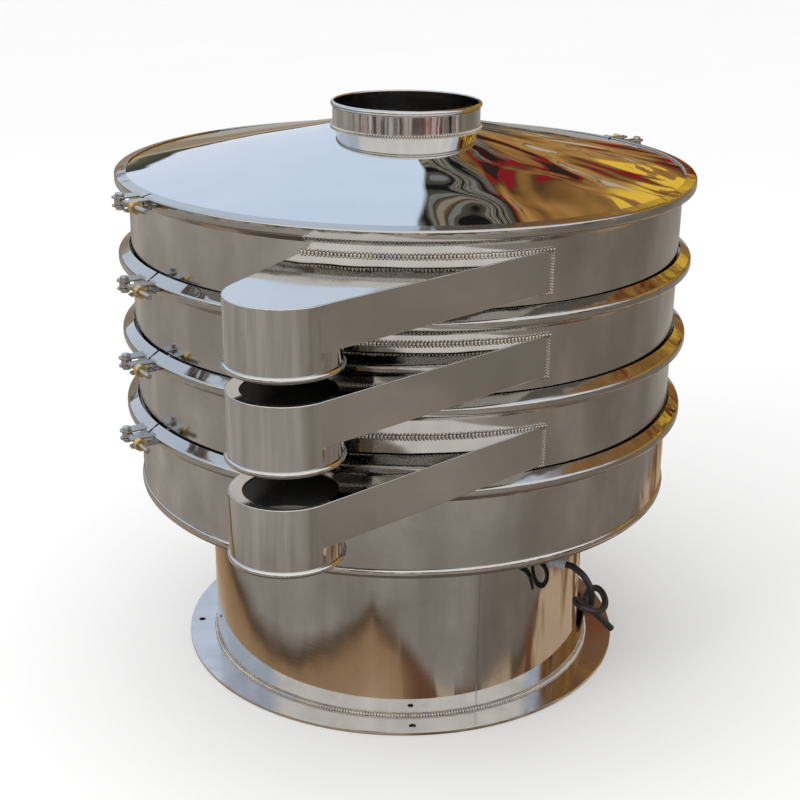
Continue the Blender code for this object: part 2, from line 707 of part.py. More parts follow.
def band_profile(over_lid):
    """The band's sheet in section, about its own middle level, from its upper leg to its lower one.

    The lid's band has its upper leg laid along the lid's cone.
    """
    web_inner = BAND_WEB_HALF + (BAND_RADIUS - BAND_BORE) * BAND_SLOPE - BAND_SHEET_UPRIGHT
    leg_inner = BAND_LEG_HALF - BAND_SHEET_UPRIGHT
    lower = [
        (BAND_RADIUS, -BAND_WEB_HALF), (BAND_LEG_RADIUS, -BAND_LEG_HALF),
        (BAND_LEG_RADIUS, -leg_inner), (BAND_BORE, -web_inner),
    ]
    if not over_lid:
        return [
            (BAND_LEG_RADIUS, BAND_LEG_HALF), (BAND_RADIUS, BAND_WEB_HALF), *lower,
            (BAND_BORE, web_inner), (BAND_LEG_RADIUS, leg_inner),
        ]
    stretch = math.hypot(lid_slope(), 1)

    def above_cone(radius, clearance):
        return radius, lid_edge() + lid_slope() * (FLANGE_RADIUS - radius) + clearance * stretch

    return [
        above_cone(BAND_LEG_RADIUS, GAP + BAND_SHEET), above_cone(BAND_RADIUS, GAP + BAND_SHEET), *lower,
        above_cone(BAND_BORE, GAP), above_cone(BAND_LEG_RADIUS, GAP),
    ]


def band_core_mesh(profile):
    """All that lies inside the middle of the band's sheet: plates are cut back to it."""
    outer, inner = profile[:4], profile[:3:-1]
    middle = [((r + s) / 2, (y + z) / 2) for (r, y), (s, z) in zip(outer, inner)]
    return turned("core", [(0, middle[0][1]), *middle, (0, middle[-1][1])])


def band_angles(split_angle):
    """Facet angles of one half, on the shells' own grid, between its two cut ends."""
    half_gap = BAND_SPLIT_GAP / 2 / BAND_RADIUS
    start = split_angle + half_gap
    end = split_angle + HALF_TURN - half_gap
    first = math.floor(start / RING_STEP) + 1
    last = math.ceil(end / RING_STEP) - 1
    return [start, *(index * RING_STEP for index in range(first, last + 1)), end]


def ear_outline():
    """Ear plate in plan, about its pivot: X runs outwards and Y along the bolt's line."""
    root = BAND_LEG_RADIUS - CLAMP_LINE_RADIUS
    points = [(root, EAR_HALF_WIDTH), (root, -EAR_HALF_WIDTH)]
    for step in range(EAR_ARC_STEPS + 1):
        angle = math.pi * step / EAR_ARC_STEPS - math.pi / 2
        points.append((EAR_HALF_WIDTH * math.cos(angle), EAR_HALF_WIDTH * math.sin(angle)))
    return points


def bearer_outline():
    """Bearer plate in plan: X runs outwards at the split and Y along the bolt's line."""
    reach = CLAMP_LINE_RADIUS + BEARER_REACH
    return [
        (BAND_LEG_RADIUS, BEARER_START), (reach - BEARER_CHAMFER, BEARER_START),
        (reach, BEARER_START + BEARER_CHAMFER), (reach, BEARER_END), (BAND_LEG_RADIUS, BEARER_END),
    ]


def pivot_place(split_angle, level=0.0):
    """Where a clamp's pin stands, on the far side of the split from its bearer plates."""
    return Matrix.Rotation(split_angle, 4, "Z") @ Vector((CLAMP_LINE_RADIUS, -CLAMP_PIVOT_OFFSET, level))


def band_half_mesh(split_angle, over_lid):
    """One half: bearer plates at the split it starts from, ear plates at the opposite split."""
    profile = band_profile(over_lid)
    half = place_cutter("band_arc", turned("band", profile, band_angles(split_angle), closed=False))
    far_split = split_angle + HALF_TURN
    far_turn = (0, 0, far_split)
    plates = []
    for low in (EAR_HALF_GAP, -EAR_HALF_GAP - EAR_PLATE):
        ear = prism("ear", ear_outline(), low, low + EAR_PLATE)
        plates.append(place_cutter("ear", ear, pivot_place(far_split), far_turn))
        bearer = prism("bearer", bearer_outline(), low, low + EAR_PLATE)
        plates.append(place_cutter("bearer", bearer, rotation=(0, 0, split_angle)))
    core = place_cutter("core", band_core_mesh(profile))
    for plate in plates:
        cut(plate, core)
        join(half, plate)
    pin_height = EAR_HALF_GAP + EAR_PLATE + OVERRUN
    hole = cylinder("pin_hole", PIN_RADIUS + PIN_CLEARANCE, -pin_height, pin_height)
    hole_cutter = place_cutter("pin_hole", hole, pivot_place(far_split), far_turn)
    cut(half, hole_cutter)
    data = settled(half)
    for piece in (half, core, hole_cutter, *plates):
        drop(piece)
    return data


def swing_bolt_mesh():
    """An eye bolt with its pivot pin, the pin upright at the origin and the rod along +X."""
    eye_half = EAR_HALF_GAP - GAP
    ear_top = EAR_HALF_GAP + EAR_PLATE + GAP
    head_top = ear_top + PIN_HEAD_HEIGHT
    nut_bottom = -ear_top - PIN_NUT_HEIGHT
    profile = [
        (0, head_top), (PIN_HEAD_RADIUS, head_top), (PIN_HEAD_RADIUS, ear_top),
        (PIN_RADIUS, ear_top), (PIN_RADIUS, eye_half), (EYE_RADIUS, eye_half),
        (EYE_RADIUS, -eye_half), (PIN_RADIUS, -eye_half), (PIN_RADIUS, -ear_top),
        (PIN_HEAD_RADIUS, -ear_top), (PIN_HEAD_RADIUS, nut_bottom), (0, nut_bottom),
    ]
    eye = place_cutter("eye", turned("eye", profile, even_angles(SMALL_SEGMENTS)))
    rod = cylinder("rod", ROD_RADIUS, EYE_RADIUS / 2, nut_seat() + CLAMP_NUT_THICKNESS + ROD_PAST_NUT)
    rod_piece = place_cutter("rod", rod, rotation=(0, math.pi / 2, 0))
    join(eye, rod_piece)
    data = settled(eye)
    drop(eye)
    drop(rod_piece)
    return data


def nut_seat():
    """How far along the rod from the pivot the nut's bearing face lies."""
    return CLAMP_PIVOT_OFFSET + BEARER_END + GAP


def clamp_nut_mesh():
    nut_top = nut_seat() + CLAMP_NUT_THICKNESS
    profile = [
        (0, nut_top), (CLAMP_NUT_RADIUS, nut_top), (CLAMP_NUT_RADIUS, nut_seat()), (0, nut_seat()),
    ]
    nut = place_cutter("nut", turned("nut", profile, even_angles(HEX_SIDES)))
    hole = cylinder("nut_hole", ROD_RADIUS + ROD_CLEARANCE, nut_seat() - OVERRUN, nut_top + OVERRUN)
    hole_piece = place_cutter("nut_hole", hole)
    cut(nut, hole_piece)
    data = settled(nut)
    drop(nut)
    drop(hole_piece)
    data.transform(Matrix.Rotation(math.pi / 2, 4, "Y"))
    return data


def build_bands():
    bolt = swing_bolt_mesh()
    nut = clamp_nut_mesh()
    for name, level, split in zip(JOINT_NAMES, JOINT_LEVELS, BAND_SPLIT_AZIMUTHS):
        split_angle = azimuth_angle(split)
        data = band_half_mesh(split_angle, name == "lid")
        for half_name, turn in (("front", 0), ("rear", HALF_TURN)):
            place(f"{name}_band_{half_name}", data, STEEL, (0, 0, level), (0, 0, turn))
        for side, turn in (("left", 0), ("right", HALF_TURN)):
            pivot = pivot_place(split_angle + turn, level)
            rotation = (0, 0, split_angle + turn + math.pi / 2)
            place(f"{name}_swing_bolt_{side}", bolt, SATIN_STEEL, pivot, rotation)
            place(f"{name}_clamp_nut_{side}", nut, BRASS, pivot, rotation)


# Vibration motor: an upright motor in the vibrating plate, with unbalanced weights at both ends

def motor_levels():
    top = PLATE_LEVEL + PLATE_THICKNESS + MOTOR_ABOVE_PLATE
    flange_top = PLATE_LEVEL - GAP
    bottom = flange_top - MOTOR_FLANGE_THICKNESS - MOTOR_BODY_LENGTH
    return top, flange_top, bottom


def build_motor():
    top, flange_top, bottom = motor_levels()
    flange_bottom = flange_top - MOTOR_FLANGE_THICKNESS
    bore = SHAFT_RADIUS + SHAFT_CLEARANCE
    angles = even_angles(MOTOR_SEGMENTS)
    housing = place("motor_housing", turned("motor_housing", [
        (bore, top), (MOTOR_END_RADIUS, top), (MOTOR_NECK_RADIUS, top - MOTOR_SHOULDER),
        (MOTOR_NECK_RADIUS, flange_top), (MOTOR_FLANGE_RADIUS, flange_top),
        (MOTOR_FLANGE_RADIUS, flange_bottom), (MOTOR_CORE_RADIUS, flange_bottom),
        (MOTOR_CORE_RADIUS, bottom + MOTOR_SHOULDER), (MOTOR_END_RADIUS, bottom), (bore, bottom),
    ], angles), CAST_IRON)
    pad_face = MOTOR_CORE_RADIUS + FIN_REACH
    root = MOTOR_CORE_RADIUS - FIN_ROOT
    fin_low = bottom + MOTOR_SHOULDER + FIN_END_SPACE
    fin_high = flange_bottom - FIN_END_SPACE
    fin = block("fin", (root, -FIN_THICKNESS / 2, fin_low), (pad_face, FIN_THICKNESS / 2, fin_high))
    middle = (fin_low + fin_high) / 2
    for index in range(FIN_COUNT):
        azimuth = TERMINAL_AZIMUTH + 360 * (index + 0.5) / FIN_COUNT
        turn = (0, 0, azimuth_angle(azimuth))
        if 1 <= index <= FIN_COUNT - 2:
            join(housing, place_cutter("fin", fin, rotation=turn))
    half_width, half_height = TERMINAL_PAD_WIDTH / 2, TERMINAL_PAD_HEIGHT / 2
    pad = block(
        "pad", (root, -half_width, middle - half_height), (pad_face, half_width, middle + half_height)
    )
    facing = (0, 0, azimuth_angle(TERMINAL_AZIMUTH))
    join(housing, place_cutter("pad", pad, rotation=facing))

    half_width, half_height = TERMINAL_BOX_WIDTH / 2, TERMINAL_BOX_HEIGHT / 2
    inner = pad_face + GAP
    box = block(
        "terminal_box", (inner, -half_width, middle - half_height),
        (inner + TERMINAL_BOX_DEPTH, half_width, middle + half_height), TERMINAL_BOX_CORNER, 2,
    )
    place("terminal_box", box, CAST_IRON, rotation=facing)
    build_rotor(top, bottom)


def weight_mesh(bottom):
    """A half-round weight with a hub, its heavy side towards +X."""
    spread = math.radians(WEIGHT_SPREAD)
    outline = []
    for step in range(WEIGHT_STEPS + 1):
        angle = -spread + 2 * spread * step / WEIGHT_STEPS
        outline.append((WEIGHT_RADIUS * math.cos(angle), WEIGHT_RADIUS * math.sin(angle)))
    for step in range(WEIGHT_STEPS + 1):
        angle = spread + (2 * math.pi - 2 * spread) * step / WEIGHT_STEPS
        outline.append((WEIGHT_HUB_RADIUS * math.cos(angle), WEIGHT_HUB_RADIUS * math.sin(angle)))
    return prism("weight", outline, bottom, bottom + WEIGHT_THICKNESS)


def build_rotor(motor_top, motor_bottom):
    upper_bottom = motor_top + WEIGHT_SPACE
    lower_bottom = motor_bottom - WEIGHT_SPACE - WEIGHT_THICKNESS
    phase_bottom = lower_bottom - GAP - WEIGHT_THICKNESS
    shaft_top = upper_bottom + WEIGHT_THICKNESS + SHAFT_PAST_WEIGHT
    shaft_bottom = phase_bottom - SHAFT_PAST_WEIGHT
    shaft = cylinder("motor_shaft", SHAFT_RADIUS, shaft_bottom, shaft_top, SHAFT_SEGMENTS)
    place("motor_shaft", shaft, WEIGHT_STEEL)
    bore_radius = (SHAFT_RADIUS + GAP) / math.cos(math.pi / SHAFT_SEGMENTS)
    hole = cylinder(
        "weight_bore", bore_radius, phase_bottom - OVERRUN, shaft_top + OVERRUN, SHAFT_SEGMENTS
    )
    bore_cutter = place_cutter("weight_bore", hole)
    for name, bottom in (
        ("upper_weight", upper_bottom), ("lower_weight", lower_bottom), ("phase_weight", phase_bottom)
    ):
        cut(place(name, weight_mesh(bottom), WEIGHT_STEEL), bore_cutter)


# Cable gland and the power cable with its loose knot

def gland_azimuth():
    """The way the gland points: square to the facet that it sits on."""
    return math.degrees(GLAND_FACET * RING_STEP) + 90


def gland_seat():
    flat = BASE_RADIUS * math.cos(RING_STEP / 2)
    sideways = azimuth_point(GLAND_SIDE_SHIFT, gland_azimuth() + 90)
    return azimuth_point(flat, gland_azimuth(), GLAND_LEVEL) + sideways


def build_gland():
    body_start = GAP + GLAND_FLANGE_LENGTH
    dome_start = body_start + GLAND_BODY_LENGTH
    mouth = dome_start + GLAND_DOME_LENGTH
    gland = turned("cable_gland", [
        (0, mouth), (GLAND_MOUTH_RADIUS, mouth), (GLAND_BODY_RADIUS, dome_start),
        (GLAND_BODY_RADIUS, body_start), (GLAND_FLANGE_RADIUS, body_start), (GLAND_FLANGE_RADIUS, GAP),
        (GLAND_THREAD_RADIUS, GAP), (GLAND_THREAD_RADIUS, -GLAND_THREAD_LENGTH), (0, -GLAND_THREAD_LENGTH),
    ], even_angles(GLAND_SEGMENTS))
    place("cable_gland", gland, GLAND_GREY, gland_seat(), outward_turn(gland_azimuth()))
    return mouth


def smooth_route(points, steps):
    """Points on a smooth curve that passes through every route point."""
    padded = [2 * points[0] - points[1], *points, 2 * points[-1] - points[-2]]
    route = []
    for before, start, end, after in zip(padded, padded[1:], padded[2:], padded[3:]):
        for step in range(steps):
            t = step / steps
            route.append(0.5 * (
                2 * start + (end - before) * t + (2 * before - 5 * start + 4 * end - after) * t ** 2
                + (3 * start - before - 3 * end + after) * t ** 3
            ))
    return [*route, points[-1]]


def build_cable(gland_mouth):
    outward = azimuth_point(1, gland_azimuth())
    start = gland_seat() + outward * (gland_mouth + GAP)
    straight = [start + outward * CABLE_RADIUS * step for step in range(3)]
    route = smooth_route([*straight, *(Vector(p) for p in CABLE_ROUTE)], CABLE_STEPS_PER_SPAN)
    curve = bpy.data.curves.new("power_cable", "CURVE")
    curve.dimensions = "3D"
    curve.bevel_depth = CABLE_RADIUS
    curve.bevel_resolution = 2
    curve.use_fill_caps = True
    spline = curve.splines.new("POLY")
    spline.points.add(len(route) - 1)
    for point, place_on_route in zip(spline.points, route):
        point.co = (*place_on_route, 1)
    place("power_cable", curve, CABLE_BLACK)


def main():
    for leftover in list(bpy.data.objects):
        bpy.data.objects.remove(leftover)
    build_base()
    build_springs()
    frames = build_frames()
    build_chutes(frames)
    build_screens_and_gaskets()
    build_dish_and_plate()
    build_lid()
    build_bands()
    build_motor()
    build_cable(build_gland())


main()
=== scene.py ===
import math

import bmesh
import bpy
from mathutils import Matrix, Vector


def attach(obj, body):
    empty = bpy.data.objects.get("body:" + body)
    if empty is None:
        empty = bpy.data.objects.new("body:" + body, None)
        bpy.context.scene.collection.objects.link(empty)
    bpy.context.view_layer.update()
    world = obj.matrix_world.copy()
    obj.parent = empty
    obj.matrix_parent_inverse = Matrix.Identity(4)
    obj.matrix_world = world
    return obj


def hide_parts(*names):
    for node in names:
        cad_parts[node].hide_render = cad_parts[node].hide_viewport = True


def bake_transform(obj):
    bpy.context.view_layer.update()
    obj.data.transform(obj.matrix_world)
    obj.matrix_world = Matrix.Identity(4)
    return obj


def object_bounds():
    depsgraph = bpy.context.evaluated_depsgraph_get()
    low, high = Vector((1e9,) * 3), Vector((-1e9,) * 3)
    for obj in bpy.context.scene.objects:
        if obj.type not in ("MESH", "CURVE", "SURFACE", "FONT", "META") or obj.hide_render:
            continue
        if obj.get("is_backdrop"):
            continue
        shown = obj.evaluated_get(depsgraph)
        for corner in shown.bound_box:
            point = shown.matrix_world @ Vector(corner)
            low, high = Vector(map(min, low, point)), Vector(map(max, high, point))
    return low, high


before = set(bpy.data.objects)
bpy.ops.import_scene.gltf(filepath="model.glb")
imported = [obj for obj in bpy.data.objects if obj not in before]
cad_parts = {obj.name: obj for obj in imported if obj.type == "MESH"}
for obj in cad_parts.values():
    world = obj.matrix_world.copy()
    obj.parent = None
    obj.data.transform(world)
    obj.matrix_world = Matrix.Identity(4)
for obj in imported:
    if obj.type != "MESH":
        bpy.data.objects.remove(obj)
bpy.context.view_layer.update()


# The view: the machine is seen from its chute side, a little from above, on a plain pale floor under
# a broad soft light at the left. In front of it the polished sheet mirrors paving with a sunlit patch
# and upright streaks of colour, and behind it pale sky, a tree line and folds of coloured cloth.
VIEW_ELEVATION = math.radians(20.663)
VIEW_DISTANCE = 2.7607
VIEW_AIM_LEVEL = 0.4542
VIEW_ROLL = math.radians(0.65)
VIEW_LENS = 63.857
VIEW_SHIFT = (-0.00372, 0.01458)
VIEW_REACH = 200.0
FLOOR_HALF = 40.0
FLOOR_DROP = 0.0006
SOFT_LIGHT_PLACE = Vector((-2.6, -2.4, 3.2))
SOFT_LIGHT_AIM = Vector((0, 0, 0.5))
SOFT_LIGHT_SIZE = 2.2
SOFT_LIGHT_POWER = 60.0
STUDIO_WHITE = (1.12, 1.12, 1.12, 1.0)
HORIZON = -0.03
DIM_SIDE = (0.62, 0.58, 0.54, 1.0)
# Each edge of the sunlit patch: the azimuth where it runs nearest the base, its level there as a
# share of the mirrored direction, and how fast it climbs away from it.
SUNLIT_EDGES = ((-62.0, -0.508, 0.100), (38.0, -0.532, 0.125))


def new_object(name, data):
    made = bpy.data.objects.new(name, data)
    bpy.context.scene.collection.objects.link(made)
    return made


back = Vector((0, -math.cos(VIEW_ELEVATION), math.sin(VIEW_ELEVATION)))
across = Vector((1, 0, 0))
upright = back.cross(across)
camera_data = bpy.data.cameras.new("view")
camera_data.lens = VIEW_LENS
camera_data.shift_x, camera_data.shift_y = VIEW_SHIFT
camera_data.clip_end = VIEW_REACH
camera = new_object("view", camera_data)
right_axis = across * math.cos(VIEW_ROLL) + upright * math.sin(VIEW_ROLL)
up_axis = upright * math.cos(VIEW_ROLL) - across * math.sin(VIEW_ROLL)
eye = Vector((0, 0, VIEW_AIM_LEVEL)) + back * VIEW_DISTANCE
camera.matrix_world = Matrix.Translation(eye) @ Matrix((right_axis, up_axis, back)).transposed().to_4x4()
bpy.context.scene.camera = camera
bpy.context.scene.view_settings.view_transform = "Standard"


class Wiring:
    """Adds nodes to a tree. An input takes a value, or the socket that feeds it."""

    def __init__(self, tree):
        self.tree = tree

    def set(self, socket, value):
        if isinstance(value, bpy.types.NodeSocket):
            self.tree.links.new(value, socket)
        else:
            socket.default_value = value

    def node(self, kind, inputs=None, **settings):
        made = self.tree.nodes.new(kind)
        for name, value in settings.items():
            setattr(made, name, value)
        for name, value in (inputs or {}).items():
            self.set(made.inputs[name], value)
        return made

    def math(self, operation, *values):
        return self.node("ShaderNodeMath", dict(enumerate(values)), operation=operation).outputs[0]

    def vector_math(self, operation, *values):
        return self.node("ShaderNodeVectorMath", dict(enumerate(values)), operation=operation).outputs

    def product(self, first, *others):
        for other in others:
            first = self.math("MULTIPLY", first, other)
        return first

    def split(self, vector):
        return self.node("ShaderNodeSeparateXYZ", {"Vector": vector}).outputs

    def join(self, x, y, z=0.0):
        return self.node("ShaderNodeCombineXYZ", {"X": x, "Y": y, "Z": z}).outputs[0]

    def mapping(self, vector, location=(0, 0, 0), scale=(1, 1, 1)):
        inputs = {"Vector": vector, "Location": location, "Scale": scale}
        return self.node("ShaderNodeMapping", inputs).outputs["Vector"]

    def noise(self, vector, scale, detail=2.0, roughness=0.5, distortion=0.0):
        return self.node("ShaderNodeTexNoise", {
            "Vector": vector, "Scale": scale, "Detail": detail, "Roughness": roughness, "Distortion": distortion,
        }).outputs["Fac"]

    def ramp(self, factor, *stops):
        """A colour ramp from (position, colour) stops."""
        made = self.node("ShaderNodeValToRGB", {"Fac": factor})
        elements = made.color_ramp.elements
        while len(elements) < len(stops):
            elements.new(0.5)
        for element, (position, colour) in zip(elements, stops):
            element.position = position
            element.color = (*colour, 1.0)
        return made.outputs["Color"]

    def span(self, value, low, high, to_low=0.0, to_high=1.0):
        """A smooth step of a value between two limits."""
        return self.node("ShaderNodeMapRange", {
            "Value": value, "From Min": low, "From Max": high, "To Min": to_low, "To Max": to_high,
        }, interpolation_type="SMOOTHSTEP").outputs["Result"]

    def blend(self, factor, first, second, kind="MIX"):
        made = self.node("ShaderNodeMix", {"Factor": factor}, data_type="RGBA", blend_type=kind)
        self.set(made.inputs[6], first)
        self.set(made.inputs[7], second)
        return made.outputs[2]

    def bump(self, height, distance, strength=1.0, over=None):
        made = self.node("ShaderNodeBump", {"Height": height, "Strength": strength, "Distance": distance})
        if over is not None:
            self.set(made.inputs["Normal"], over)
        return made.outputs["Normal"]


def ground_colours(n, direction, x, y, z):
    """Grey-brown paving; nearer the base a sunlit patch, its edge in two curves with a dark line."""
    squeezed = n.mapping(direction, scale=(1.0, 1.0, 3.6))
    soft = n.noise(squeezed, 2.2, 5.0, 0.58)
    paving = n.ramp(
        soft, (0.30, (0.290, 0.268, 0.240)), (0.50, (0.375, 0.348, 0.314)), (0.70, (0.500, 0.465, 0.420))
    )
    shade = n.ramp(
        soft, (0.30, (0.230, 0.206, 0.183)), (0.50, (0.300, 0.272, 0.243)), (0.70, (0.380, 0.348, 0.315))
    )
    level_way = n.vector_math("NORMALIZE", n.join(x, y))["Vector"]
    edges = []
    for azimuth, lowest, climb in SUNLIT_EDGES:
        towards = (math.sin(math.radians(azimuth)), -math.cos(math.radians(azimuth)), 0.0)
        lobe = n.vector_math("DOT_PRODUCT", level_way, towards)["Value"]
        edges.append(n.math("MULTIPLY_ADD", lobe, -climb, lowest + climb))
    depth = n.math("SUBTRACT", n.math("MINIMUM", *edges), z)
    depth = n.math("ADD", n.math("MULTIPLY_ADD", n.noise(direction, 2.0), 0.03, depth), 0.485)
    sunlit = n.ramp(
        depth, (0.493, (0.130, 0.090, 0.062)), (0.499, (0.065, 0.042, 0.026)), (0.503, (0.270, 0.165, 0.090)),
        (0.515, (0.350, 0.225, 0.125)), (0.540, (0.410, 0.275, 0.165)), (0.565, (0.560, 0.430, 0.310)),
    )
    streaks = n.noise(squeezed, 3.2, 2.0, 0.5, 0.9)
    on_right = n.span(x, -0.10, 0.20)
    sunlit = n.blend(n.product(n.span(streaks, 0.53, 0.57), on_right), sunlit, (0.52, 0.38, 0.26, 1.0))
    sunlit = n.blend(n.product(n.span(streaks, 0.48, 0.44), on_right), sunlit, (0.16, 0.075, 0.040, 1.0))
    ground = n.blend(n.span(z, -0.40, -0.46), paving, shade)
    ground = n.blend(n.span(x, 0.35, 0.90), ground, n.blend(1.0, ground, DIM_SIDE, "MULTIPLY"))
    ground = n.blend(n.span(depth, 0.484, 0.496), ground, sunlit)
    return n.blend(n.span(z, -0.58, -0.66), ground, (0.13, 0.11, 0.095, 1.0))


def sky_colours(n, direction, x, y, z):
    """Pale sky, with a dim tree line above the horizon and crisp folds of cloth at the right."""
    sky = n.ramp(
        z, (0.00, (0.80, 0.85, 0.92)), (0.25, (0.70, 0.80, 0.96)), (0.70, (0.66, 0.78, 0.97)),
        (1.00, (0.74, 0.82, 0.95)),
    )
    sky = n.blend(n.span(y, 0.0, -0.2), sky, (1.05, 1.03, 1.00, 1.0))
    at_left = n.span(x, -0.12, -0.28, -0.020, 0.110)
    skyline = n.math("MULTIPLY_ADD", n.noise(direction, 5.0, 3.0), 0.16, at_left)
    below = n.math("SUBTRACT", skyline, z)
    trees = n.ramp(
        below, (0.000, (0.045, 0.050, 0.040)), (0.022, (0.10, 0.10, 0.075)), (0.034, (0.50, 0.38, 0.25)),
        (0.060, (0.30, 0.24, 0.17)),
    )
    sky = n.blend(n.span(below, -0.003, 0.003), sky, trees)

    swirl = n.noise(direction, 4.6, 2.0, 0.45, 0.8)
    to_right = n.math("ADD", x, n.math("MULTIPLY_ADD", swirl, 0.22, -0.11))
    folded = n.ramp(
        n.math("PINGPONG", n.product(swirl, 30.0), 1.0),
        (0.16, (0.010, 0.010, 0.010)), (0.20, (0.060, 0.052, 0.036)), (0.36, (0.085, 0.078, 0.060)),
        (0.39, (0.20, 0.205, 0.200)), (0.60, (0.17, 0.165, 0.150)), (0.64, (0.050, 0.043, 0.030)),
        (0.82, (0.14, 0.105, 0.060)), (0.86, (0.26, 0.225, 0.165)),
    )
    cloth = n.noise(direction, 11.0, 2.5, 0.5, 1.3)
    bright = n.ramp(
        cloth, (0.355, (0.030, 0.020, 0.015)), (0.365, (0.26, 0.014, 0.018)), (0.400, (0.24, 0.014, 0.018)),
        (0.410, (0.095, 0.050, 0.020)), (0.45, (0.24, 0.115, 0.035)), (0.53, (0.37, 0.190, 0.055)),
        (0.60, (0.46, 0.255, 0.080)), (0.62, (0.17, 0.100, 0.045)), (0.68, (0.52, 0.42, 0.30)),
    )
    golden = n.product(
        n.span(cloth, 0.515, 0.525), n.span(to_right, 0.235, 0.255), n.span(z, 0.10, 0.14), n.span(z, 0.46, 0.44)
    )
    bright = n.blend(golden, bright, (0.82, 0.52, 0.060, 1.0))
    side = n.blend(n.span(to_right, 0.125, 0.150), folded, bright)
    shown = n.product(n.span(to_right, 0.012, 0.018), n.span(y, 0.05, 0.12), n.span(z, 0.90, 0.80))
    return n.blend(shown, sky, side)


def build_surroundings():
    """What the sheet mirrors. The camera and the dull surfaces see a plain studio white instead."""
    world = bpy.data.worlds.new("surroundings")
    bpy.context.scene.world = world
    world.use_nodes = True
    world.node_tree.nodes.clear()
    n = Wiring(world.node_tree)
    direction = n.node("ShaderNodeTexCoord").outputs["Generated"]
    x, y, z = n.split(direction)
    mirrored = n.blend(
        n.span(z, HORIZON - 0.005, HORIZON + 0.005), ground_colours(n, direction, x, y, z),
        sky_colours(n, direction, x, y, z),
    )
    upright_streaks = n.ramp(
        n.noise(n.mapping(direction, scale=(9.0, 9.0, 2.0)), 1.0),
        (0.36, (0.020, 0.020, 0.022)), (0.44, (0.16, 0.14, 0.12)), (0.49, (0.52, 0.47, 0.42)),
        (0.53, (0.72, 0.70, 0.68)), (0.56, (0.30, 0.07, 0.06)), (0.60, (0.11, 0.09, 0.08)),
    )
    in_front = n.product(n.span(z, -0.182, -0.172), n.span(z, 0.10, 0.06), n.span(y, 0.10, -0.10))
    mirrored = n.blend(in_front, mirrored, upright_streaks)
    light_path = n.node("ShaderNodeLightPath").outputs
    plain = n.math("MAXIMUM", light_path["Is Camera Ray"], light_path["Is Diffuse Ray"])
    background = n.node("ShaderNodeBackground", {"Color": n.blend(plain, mirrored, STUDIO_WHITE), "Strength": 1.0})
    n.node("ShaderNodeOutputWorld", {"Surface": background.outputs[0]})


def new_material(name):
    """A new material, the wiring of its tree, and the coordinates of the piece that wears it."""
    material = bpy.data.materials.new(name)
    material.use_nodes = True
    n = Wiring(material.node_tree)
    return material, n, n.node("ShaderNodeTexCoord").outputs["Object"]


def dressed(material, colour, roughness, normal=None, metallic=0.0):
    """The material with its shader fed."""
    n = Wiring(material.node_tree)
    shader = material.node_tree.nodes["Principled BSDF"].inputs
    n.set(shader["Base Color"], colour)
    n.set(shader["Roughness"], roughness)
    if normal is not None:
        n.set(shader["Normal"], normal)
    shader["Metallic"].default_value = metallic
    return material


build_surroundings()
floor_data = bpy.data.meshes.new("floor")
floor_corners = [(x * FLOOR_HALF, y * FLOOR_HALF, -FLOOR_DROP) for x, y in ((-1, -1), (1, -1), (1, 1), (-1, 1))]
floor_data.from_pydata(floor_corners, [], [(0, 1, 2, 3)])
pale_floor, n, floor_spot = new_material("pale_floor")
floor_colour = n.ramp(n.noise(floor_spot, 0.8), (0.3, (0.895, 0.895, 0.89)), (0.7, (0.905, 0.905, 0.90)))
floor_data.materials.append(dressed(pale_floor, floor_colour, 0.9))
floor = new_object("floor", floor_data)
floor.visible_glossy = False
floor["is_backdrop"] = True

light_data = bpy.data.lights.new("soft_light", "AREA")
light_data.size = SOFT_LIGHT_SIZE
light_data.energy = SOFT_LIGHT_POWER
light = new_object("soft_light", light_data)
light.location = SOFT_LIGHT_PLACE
light.visible_glossy = False
light.rotation_mode = "QUATERNION"
light.rotation_quaternion = (SOFT_LIGHT_PLACE - SOFT_LIGHT_AIM).to_track_quat("Z", "Y")


# Power cable: a limp 12 mm rubber-sheathed cable that leaves the gland on the base, is tied in a
# loose knot so that it stays off the floor, and ends cut off with its cores bare.
CABLE_RADIUS = 0.006
CABLE_STEPS_PER_SPAN = 6
CORE_COUNT = 3
CORE_RADIUS = 0.0012
CORE_CIRCLE = 0.0022
CORE_HIDDEN = 0.003
CORE_BARE = 0.0012
CORE_SIDES = 12
GLAND_LEVEL = 0.262
GLAND_AZIMUTH = 50.625
GLAND_SIDE_SHIFT = -0.016
GLAND_FLAT_RADIUS = 0.370209
GLAND_MOUTH = 0.0323
CABLE_GAP = 0.0003
CABLE_ROUTE = (
    (0.3255, -0.2869, 0.2542), (0.3352, -0.2935, 0.2432), (0.3421, -0.2970, 0.2290),
    (0.3455, -0.2969, 0.2132), (0.3456, -0.2929, 0.1976), (0.3432, -0.2845, 0.1841),
    (0.3402, -0.2708, 0.1765), (0.3399, -0.2554, 0.1798), (0.3446, -0.2480, 0.1927),
    (0.3520, -0.2529, 0.2059), (0.3588, -0.2653, 0.2134), (0.3638, -0.2805, 0.2157),
    (0.3669, -0.2963, 0.2151), (0.3675, -0.3124, 0.2134), (0.3650, -0.3283, 0.2120),
    (0.3588, -0.3432, 0.2120), (0.3482, -0.3551, 0.2142), (0.3340, -0.3607, 0.2188),
    (0.3195, -0.3564, 0.2238), (0.3112, -0.3431, 0.2259), (0.3121, -0.3276, 0.2227),
    (0.3197, -0.3157, 0.2152), (0.3302, -0.3087, 0.2051), (0.3414, -0.3050, 0.1939),
    (0.3525, -0.3024, 0.1825), (0.3635, -0.3001, 0.1708), (0.3744, -0.2981, 0.1589),
    (0.3852, -0.2961, 0.1471),
)


def azimuth_point(radius, azimuth, level=0.0):
    """A place round the machine, its azimuth in degrees to the right of the chute side."""
    angle = math.radians(azimuth) - math.pi / 2
    return Vector((radius * math.cos(angle), radius * math.sin(angle), level))


